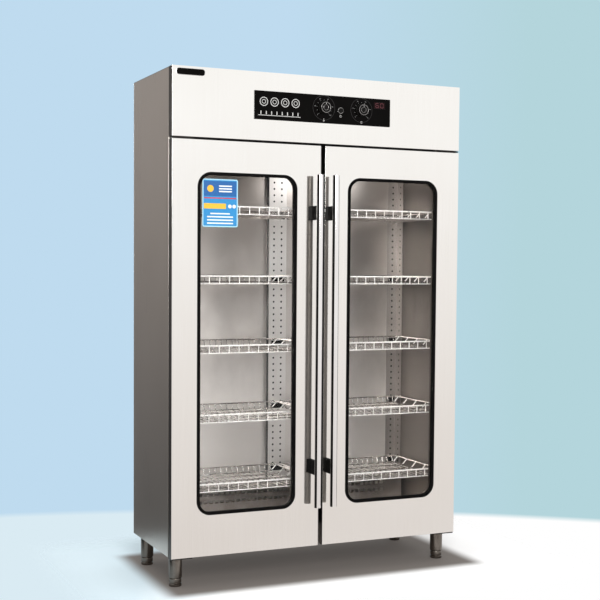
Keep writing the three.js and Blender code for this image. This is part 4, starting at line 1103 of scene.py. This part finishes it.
tray = makeBasket()
trays = {("left", 1): tray}
for level in range(1, basket["levels"] + 1):
    for side in sides:
        if (side, level) not in trays:
            shift = (basket["across"] if side == "right" else 0, 0, basket["rise"] * (level - 1))
            trays[(side, level)] = copyOf(tray, f"{side}_tray_{level}", shift)
for (side, level), piece in trays.items():
    finished(piece, wireChrome, "cabinet", "bright_wire", f"{side}_basket_{level}")
    # Painted highlight on the front wires and on the wires that rise to the right-hand rim
    frontTo = basket["low"][1] + basket["rim"] + basket["highlightBeyond"]
    rimFrom = basket["high"][2] - basket["rim"] - basket["highlightUnder"] + basket["rise"] * (level - 1)
    endFrom = basket["high"][0] - basket["highlightEnd"] + (basket["across"] if side == "right" else 0)
    alsoFaced(piece, highlightWireChrome, lambda face: face.center.y < frontTo
              or (face.center.x > endFrom and rimFrom - basket["highlightHeight"] < face.center.z < rimFrom))
print("baskets made")

# Posts of rolled strip, punched all the way up except at the basket clips
post = {
    "lowZ": 0.222, "pitch": 26.4 * mm, "count": 54, "hole": 4.2 * mm, "punchLength": 12 * mm, "edge": 0.25 * mm,
    "clipUnder": 2.3 * mm, "clearOfClip": 8.5 * mm,
    "shadeStripBeyond": 1.2 * mm, "shadeStripThin": 0.25 * mm, "shadeStripEnds": 8 * mm, "shadeStripEdge": 0.1 * mm,
    "centreHoles": (-0.0173, 0.0173), "centreY": 0.2175, "centreShadedFlank": 0.03,
    "cornerX": 0.56507, "legX": 0.5887, "cornerY": {"rear": (0.2392, 0.21207), "front": (-0.1764, -0.14893)},
}
holeShadeStrips = []


def punch(piece, x, y, axis):
    clips = [basket["low"][2] + basket["rise"] * level - post["clipUnder"] for level in range(basket["levels"])]
    heights = [post["lowZ"] + post["pitch"] * step for step in range(post["count"])]
    heights = [z for z in heights if min(abs(z - clip) for clip in clips) > post["clearOfClip"]]
    first = startRound("punch", (x, y, heights[0]), post["hole"], post["punchLength"], axis, 16)
    punches = [first]
    for z in heights[1:]:
        other = twinOf(first, "punch_next")
        other.location.z = z - heights[0]
        punches.append(other)
    # A black strip behind each column of holes is painted shade, so that the holes read dark
    wide, thin, ends = post["hole"] + post["shadeStripBeyond"], post["shadeStripThin"], post["shadeStripEnds"]
    across, through = (wide, thin) if axis == "Y" else (thin, wide)
    shadeStrip = startBlock("hole_shade_strip", (x - across, y - through, post["lowZ"] - ends),
                         (x + across, y + through, heights[-1] + ends))
    holeShadeStrips.append(eased(shadeStrip, post["shadeStripEdge"], 1))
    return cutWith(piece, merged("punches", *punches))


rearPost = softened("centre_rear_post", "centre_rear_rack", 0)
for x in post["centreHoles"]:
    punch(rearPost, x, post["centreY"], "Y")
finished(eased(rearPost, post["edge"], 1), postSteel, "cabinet", "inner_steel", "centre_rear_post")
# Painted shade: the centre post's side flanks go near-black
alsoFaced(rearPost, shadedFlankSteel,
          lambda face: abs(face.normal.x) > 0.9 and abs(face.center.x) > post["centreShadedFlank"])
for side, sign in sides.items():
    for end, (faceY, legY) in post["cornerY"].items():
        rack = softened(f"{side}_{end}_post", f"{side}_{end}_rack", 0)
        punch(rack, sign * post["cornerX"], faceY, "Y")
        punch(rack, sign * post["legX"], legY, "X")
        finished(eased(rack, post["edge"], 1), shadedRackSteel, "cabinet", "inner_steel", f"{side}_{end}_post")
# The strips behind the holes are black painted shade
finished(merged("rack_hole_backings", *holeShadeStrips), sealRubber, "cabinet", "inner_steel")

# Black pads on the rear posts, one behind each basket's rim
pads = {"low": 0.348, "high": 0.369, "thick": 1.6 * mm, "edge": 0.5 * mm,
        "places": ((-0.031, 0.031, 0.2167), (0.545, 0.583, 0.2384), (-0.583, -0.545, 0.2384))}
padPieces = []
for lowX, highX, face in pads["places"]:
    pad = startBlock("basket_pads", (lowX, face - pads["thick"], pads["low"]), (highX, face, pads["high"]))
    padPieces.append(eased(pad, pads["edge"], 2))
    padPieces += [copyOf(pad, "basket_pad", (0, 0, basket["rise"] * level)) for level in range(1, basket["levels"])]
finished(merged("basket_pads", *padPieces), blackPlastic, "cabinet", "black_rubber")
print("posts made")

# Heater cover: a folded sheet with two rows of small slots, and the brackets that hold the element
cover = {
    "half": 0.568, "front": 0.1402, "rear": 0.2162, "low": 0.1983, "high": 0.3103, "sheet": 1.5 * mm,
    "edge": 0.6 * mm, "cutBeyond": 0.01,
    "slot": (16 * mm, 13 * mm), "slotCorner": 2.5 * mm, "slotPitch": 24 * mm, "slotCount": 40,
    "rows": (0.2475, 0.2785),
    "brackets": (-0.36, 0.36), "bracketThick": 3 * mm, "bracketLow": 0.2196, "bracketIn": 0.8 * mm,
    "bracketRear": 1.5 * mm, "bracketHole": 5.3 * mm, "bracketCut": 12 * mm, "bracketEdge": 0.5 * mm,
}
heater = {"y": (0.1582, 0.1982), "z": 0.2283, "ends": (-0.45, 0.4495), "tube": 10 * mm, "bend": 19.9 * mm}


def makeCover():
    half, front, rear, low, high = [cover[key] for key in ("half", "front", "rear", "low", "high")]
    sheet, beyond = cover["sheet"], cover["cutBeyond"]
    shell = startBlock("slotted_heater_cover", (-half, front, low), (half, rear, high))
    cutWith(shell, startBlock("cover_inside", (-half - beyond, front + sheet, low - beyond),
                              (half + beyond, rear + beyond, high - sheet)))
    eased(shell, cover["edge"], 2)
    for z in cover["rows"]:
        firstX = -cover["slotPitch"] * (cover["slotCount"] - 1) / 2
        slots = roundedPlate("slots", (firstX, z), cover["slot"], cover["slotCorner"], front - beyond,
                             front + beyond, 3)
        repeated(slots, cover["slotCount"], (cover["slotPitch"], 0, 0))
        cutWith(shell, slots)
    brackets = []
    halfThick = cover["bracketThick"] / 2
    for x in cover["brackets"]:
        bracket = startBlock("heater_bracket", (x - halfThick, front + cover["bracketIn"], cover["bracketLow"]),
                             (x + halfThick, rear - cover["bracketRear"], high - cover["bracketIn"]))
        for y in heater["y"]:
            cutWith(bracket, startRound("bracket_cut", (x, y, heater["z"]), cover["bracketHole"],
                                        cover["bracketCut"], "X", 24))
        brackets.append(eased(bracket, cover["bracketEdge"], 2))
    return merged("slotted_heater_cover", shell, *brackets)


finished(smoothed(makeCover()), shadedCoverSteel, "cabinet", "inner_steel", "heater_cover")
(firstX, lastX), (nearY, farY), z = heater["ends"], heater["y"], heater["z"]
element = rod("heating_tube", [(firstX, nearY, z), (lastX, nearY, z), (lastX, farY, z), (firstX, farY, z)],
              heater["tube"], heater["bend"], 8, 5)
finished(element, heaterTube, "cabinet", "dark_steel", "heater_element")
print("heater made")

# Legs of drawn tube under square plates, and levelling feet that screw up into them
legs = {
    "x": 0.575, "y": {"front": -0.1485, "rear": 0.2085}, "radius": 25.5 * mm, "low": 0.033, "high": 0.1172,
    "rolledEnd": ((2.2, 0), (0.6, 0.3), (0, 1.2)),  # in mm, in from the tube's wall and up from its end
    "plate": 58 * mm, "plateLow": 0.1167, "plateHigh": 0.1197, "plateEdge": 0.8 * mm,
    "bore": 8.3 * mm, "boreMiddle": 0.06, "boreLength": 0.066,
    # A foot's radius and height in mm: its pad, a groove, a collar and the stem
    "foot": ((21.5, 0), (23.5, 1.3), (24, 3.2), (24, 10), (22.2, 11.6), (22.2, 13.6), (23.5, 15), (23.5, 29),
             (22.7, 31), (20.5, 32.6), (8, 32.6), (8, 92)),
}


def makeLeg():
    x, y, radius, half = -legs["x"], legs["y"]["front"], legs["radius"], legs["plate"] / 2
    tube = turned("left_front_leg_tube", (x, y, 0), (0, 0, 1), [
        *[(radius - inwards * mm, legs["low"] + up * mm) for inwards, up in legs["rolledEnd"]],
        (radius, legs["high"])], 64)
    top = startBlock("leg_plate", (x - half, y - half, legs["plateLow"]), (x + half, y + half, legs["plateHigh"]))
    eased(top, legs["plateEdge"], 2)
    cutWith(tube, startRound("leg_bore", (x, y, legs["boreMiddle"]), legs["bore"], legs["boreLength"], "Z", 32))
    return smoothed(merged("left_front_leg_tube", tube, top))


def makeFoot():
    return turned("left_front_foot_pad", (-legs["x"], legs["y"]["front"], 0), (0, 0, 1),
                  [(radius * mm, height * mm) for radius, height in legs["foot"]], 64)


legTube, footPad = makeLeg(), makeFoot()
standing = []
for side, sign in sides.items():
    for end, y in legs["y"].items():
        if (side, end) != ("left", "front"):
            shift = (legs["x"] * (sign + 1), y - legs["y"]["front"], 0)
            standing.append((side, end, copyOf(legTube, f"{side}_{end}_leg_tube", shift),
                             copyOf(footPad, f"{side}_{end}_foot_pad", shift)))
standing.append(("left", "front", legTube, footPad))
for side, end, tube, pad in standing:
    finished(tube, legSteel, "cabinet", "leg_steel", f"{side}_{end}_leg")
    finished(pad, legSteel, f"{side}_{end}_levelling_foot", "leg_steel", f"{side}_{end}_foot")
print("legs made")

# Cable gland: a domed hexagonal nut on the rear panel
gland = {
    "x": 0.495, "z": 1.820, "start": 0.2535, "panelFace": 0.2658, "end": 0.2795,
    "nut": 14.6 * mm, "nutFace": 13.2 * mm, "nutTop": 13.0 * mm, "barrel": 10 * mm, "barrelFoot": 9.2 * mm,
    "dome": 7.6 * mm, "bore": 5 * mm, "boreY": 0.267, "boreLength": 40 * mm, "edge": 0.5 * mm,
}


def makeGland():
    x, z, start, face, end = [gland[key] for key in ("x", "z", "start", "panelFace", "end")]
    nut = turned("cable_gland", (x, 0, z), (0, 1, 0), [
        (gland["nutFace"], face), (gland["nut"], face + 1 * mm), (gland["nut"], end - 4 * mm),
        (gland["nutTop"], end - 3 * mm)], 6)
    barrel = turned("gland_barrel", (x, 0, z), (0, 1, 0), [
        (gland["barrelFoot"], start), (gland["barrel"], start + 0.8 * mm), (gland["barrel"], end - 2.4 * mm),
        (gland["dome"], end)], 40)
    cutWith(nut, barrel, "UNION")
    cutWith(nut, startRound("gland_bore", (x, gland["boreY"], z), gland["bore"], gland["boreLength"], "Y", 32))
    return eased(nut, gland["edge"], 2, 35)


finished(makeGland(), glandNylon, "cabinet", "black_plastic", "cable_inlet")

# Pan-head screws round the rear panel, modelled once
screws = {
    "face": 0.2655, "edgeX": 0.602, "rows": (0.16, 0.46, 0.76, 1.06, 1.36, 1.66, 1.93),
    "columns": (-0.36, -0.12, 0.12, 0.36), "lowest": -0.03, "topmost": 0.008,  # from the first and last rows
    "head": ((4.2, 0), (4.2, 0.6), (3.7, 1.4), (2.6, 2.0), (1.2, 2.25)),  # radius and height in mm
    "slot": (4.6 * mm, 1.0 * mm), "slotFrom": 1.1 * mm, "slotTo": 4 * mm,
}


def makeScrew():
    x, z = -screws["edgeX"], screws["rows"][0]
    head = turned("rear_screws", (x, screws["face"], z), (0, 1, 0),
                  [(radius * mm, height * mm) for radius, height in screws["head"]], 20)
    for width, height in (screws["slot"], reversed(screws["slot"])):
        cutWith(head, startBlock("screw_slot", (x - width / 2, screws["face"] + screws["slotFrom"], z - height / 2),
                                 (x + width / 2, screws["face"] + screws["slotTo"], z + height / 2)))
    return smoothed(head)


screw = makeScrew()
places = [(sign * screws["edgeX"], z) for sign in sides.values() for z in screws["rows"]]
places += [(x, z) for x in screws["columns"]
           for z in (screws["rows"][0] + screws["lowest"], screws["rows"][-1] + screws["topmost"])]
others = []
for x, z in places[1:]:
    other = twinOf(screw, "rear_screw")
    other.location = (x - places[0][0], 0, z - places[0][1])
    others.append(other)
finished(merged("rear_screws", screw, *others), screwSteel, "cabinet", "dark_steel")
print("rear fittings made")

# A plain studio: pale blue above and white below. What the steel mirrors is darker toward the left and low down
studio = {
    "sky": ("#BFDBEF", "#B4D5DC"), "skySpan": (0.0, 0.19), "ground": ("#DAEBF3", "#FFFFFF"),
    "groundSpan": (-0.10, -0.02), "across": (0.9116, -0.4110, 0), "edge": (-0.2045, -0.2005),
    "rear": (0.45, 0.70),
    "low": (-0.215, 0.11), "lowTo": 0.75, "lowTone": "#FFF9F6", "darkTone": "#FFF4EC",
    "darkTowards": (-0.848, 0.530, 0), "darkSpan": (0.57, 0.73), "darkHeight": (-0.23, 0.13),
    "dark": (0.0, 0.38),
    "fill": (0.52, 1.30), "fillHeight": (0.55, 0.85),
    "lampSize": (1.6, 1.6), "lampPower": 150, "lampPlace": (-1.3, -4.2, 2.4), "lampAim": (0, 0, 0.9),
    "stripSize": (0.44, 0.10), "stripPower": 0.58, "stripPlace": (0.33, -0.13, 1.60),
    "stripAim": (0.33, 0.24, 1.45),
    "floorSize": 3.2, "floorCentre": (0.05, 0.06), "floorHalf": (0.95, 0.58), "floorEdge": 0.26,
    "floorSpan": (-0.60, -0.25), "floorRoughness": 0.8, "floorSpecular": 0.1,
    "shade": "#645F5B", "shadeGlow": 0.5, "shadeCentre": (0.03, 0.04), "shadeHalf": (0.67, 0.345),
    "shadeEdge": 0.09,
}


def sided(tree, source, span, tones):  # one tone passing into another along a measure
    share = addNode(tree, "ShaderNodeMapRange", {1: span[0], 2: span[1]}, {0: source}).outputs[0]
    return addNode(tree, "ShaderNodeMix", {
        "data_type": "RGBA", 6: linear(tones[0]), 7: linear(tones[1])}, {0: share}).outputs[2]


def makeWorld():
    world = bpy.data.worlds.new("studio")
    bpy.context.scene.world = world
    world.use_nodes = True
    tree = world.node_tree
    tree.nodes.clear()
    direction = addNode(tree, "ShaderNodeTexCoord").outputs["Generated"]
    parts = addNode(tree, "ShaderNodeSeparateXYZ", links={0: direction})
    across = addNode(tree, "ShaderNodeVectorMath", {"operation": "DOT_PRODUCT", 1: studio["across"]},
                     {0: direction}).outputs["Value"]
    above = addNode(tree, "ShaderNodeMapRange", {1: studio["edge"][0], 2: studio["edge"][1]},
                    {0: parts.outputs[2]})
    behind = addNode(tree, "ShaderNodeMapRange", {1: studio["rear"][0], 2: studio["rear"][1]},
                     {0: parts.outputs[1]})
    backdrop = addNode(tree, "ShaderNodeMix", {"data_type": "RGBA"}, {
        0: above.outputs[0], 6: sided(tree, across, studio["groundSpan"], studio["ground"]),
        7: sided(tree, across, studio["skySpan"], studio["sky"])})
    colour = addNode(tree, "ShaderNodeMix", {"data_type": "RGBA", 6: linear("#FFFFFF")}, {
        0: behind.outputs[0], 7: backdrop.outputs[2]})

    # What the metal mirrors: a little darker and warmer low in front, and dark toward the left
    height = addNode(tree, "ShaderNodeMapRange", {
        1: studio["low"][0], 2: studio["low"][1], 3: studio["lowTo"], 4: 1.0}, {0: parts.outputs[2]})
    warm = sided(tree, parts.outputs[2], studio["low"], (studio["lowTone"], "#FFFFFF"))
    towards = addNode(tree, "ShaderNodeVectorMath", {"operation": "DOT_PRODUCT", 1: studio["darkTowards"]},
                      {0: direction})
    darkShare = addNode(tree, "ShaderNodeMapRange", {1: studio["darkSpan"][0], 2: studio["darkSpan"][1]},
                        {0: towards.outputs["Value"]})
    darkness = addNode(tree, "ShaderNodeMapRange", {
        1: studio["darkHeight"][0], 2: studio["darkHeight"][1], 3: studio["dark"][0], 4: studio["dark"][1]},
        {0: parts.outputs[2]})
    strength = addNode(tree, "ShaderNodeMix", {"data_type": "FLOAT"}, {
        0: darkShare.outputs[0], 2: height.outputs[0], 3: darkness.outputs[0]})
    front = addNode(tree, "ShaderNodeMix", {"data_type": "RGBA"}, {
        0: behind.outputs[0], 6: warm, 7: colour.outputs[2]})
    mirrored = addNode(tree, "ShaderNodeMix", {"data_type": "RGBA", 7: linear(studio["darkTone"])}, {
        0: darkShare.outputs[0], 6: front.outputs[2]})

    overhead = addNode(tree, "ShaderNodeMapRange", {
        1: studio["fillHeight"][0], 2: studio["fillHeight"][1], 3: studio["fill"][0], 4: studio["fill"][1]},
        {0: parts.outputs[2]})
    lit = addNode(tree, "ShaderNodeBackground", {0: linear("#FFFFFF")}, {1: overhead.outputs[0]})
    mirror = addNode(tree, "ShaderNodeBackground", links={0: mirrored.outputs[2], 1: strength.outputs[0]})
    seen = addNode(tree, "ShaderNodeBackground", {1: 1.0}, {0: colour.outputs[2]})
    path = addNode(tree, "ShaderNodeLightPath")
    sharp = addNode(tree, "ShaderNodeMath", {"operation": "MAXIMUM"}, {
        0: path.outputs["Is Glossy Ray"], 1: path.outputs["Is Transmission Ray"]})
    byMetal = addNode(tree, "ShaderNodeMixShader", links={
        0: sharp.outputs[0], 1: lit.outputs[0], 2: mirror.outputs[0]})
    byCamera = addNode(tree, "ShaderNodeMixShader", links={
        0: path.outputs["Is Camera Ray"], 1: byMetal.outputs[0], 2: seen.outputs[0]})
    addNode(tree, "ShaderNodeOutputWorld", links={0: byCamera.outputs[0]})


def makeLamp(name, kind):
    size, power, place, towards = [studio[kind + ending] for ending in ("Size", "Power", "Place", "Aim")]
    data = bpy.data.lights.new(name, "AREA")
    lamp = linked(bpy.data.objects.new(name, data))
    data.shape = "RECTANGLE"
    data.size, data.size_y = size
    data.energy = power
    lamp.location = place
    lamp.rotation_euler = (Vector(towards) - Vector(place)).to_track_quat("-Z", "Y").to_euler()
    return lamp


def makeLamps():
    makeLamp("softbox", "lamp")
    # A weak strip light hidden under the cabinet's ceiling, which lifts the tops of the windows
    strip = makeLamp("strip_light", "strip")
    strip.visible_camera = False
    strip.visible_transmission = False


def withinBox(tree, parts, centre, half, edge):  # 1 inside a box on the floor, 0 beyond its soft edge
    shares = []
    for axis in (0, 1):
        offset = addNode(tree, "ShaderNodeMath", {"operation": "SUBTRACT", 1: centre[axis]},
                         {0: parts.outputs[axis]})
        away = addNode(tree, "ShaderNodeMath", {"operation": "ABSOLUTE"}, {0: offset.outputs[0]})
        shares.append(addNode(tree, "ShaderNodeMapRange", {
            "interpolation_type": "SMOOTHSTEP", 1: half[axis] - edge / 2, 2: half[axis] + edge / 2, 3: 1.0, 4: 0.0},
            {0: away.outputs[0]}).outputs[0])
    return addNode(tree, "ShaderNodeMath", {"operation": "MULTIPLY"}, {0: shares[0], 1: shares[1]}).outputs[0]


def makeFloor():
    clearSelection()
    bpy.ops.mesh.primitive_plane_add(size=studio["floorSize"])
    floor = named(bpy.context.object, "studio_floor")
    material, tree, shader = startMaterial("matt_studio_floor")
    shader.inputs["Roughness"].default_value = studio["floorRoughness"]
    shader.inputs["Specular IOR Level"].default_value = studio["floorSpecular"]
    place = addNode(tree, "ShaderNodeTexCoord").outputs["Object"]
    parts = addNode(tree, "ShaderNodeSeparateXYZ", links={0: place})
    across = addNode(tree, "ShaderNodeVectorMath", {"operation": "DOT_PRODUCT", 1: studio["across"]}, {0: place})
    ground = sided(tree, across.outputs["Value"], studio["floorSpan"], studio["ground"])
    # Painted shadow: the floor goes dark in a soft box under the cabinet, and glows faintly there to lift it
    shade = withinBox(tree, parts, studio["shadeCentre"], studio["shadeHalf"], studio["shadeEdge"])
    colour = addNode(tree, "ShaderNodeMix", {"data_type": "RGBA", 7: linear(studio["shade"])},
                     {0: shade, 6: ground})
    tree.links.new(colour.outputs[2], shader.inputs["Base Color"])
    glow = addNode(tree, "ShaderNodeMath", {"operation": "MULTIPLY", 1: studio["shadeGlow"]}, {0: shade})
    shader.inputs["Emission Color"].default_value = linear(studio["shade"])
    tree.links.new(glow.outputs[0], shader.inputs["Emission Strength"])
    seen = withinBox(tree, parts, studio["floorCentre"], studio["floorHalf"], studio["floorEdge"])
    tree.links.new(seen, shader.inputs["Alpha"])
    floor.data.materials.append(material)


bpy.context.scene.view_settings.view_transform = "Standard"
makeWorld()
makeLamps()
makeFloor()
print("studio lit")

clearSelection()
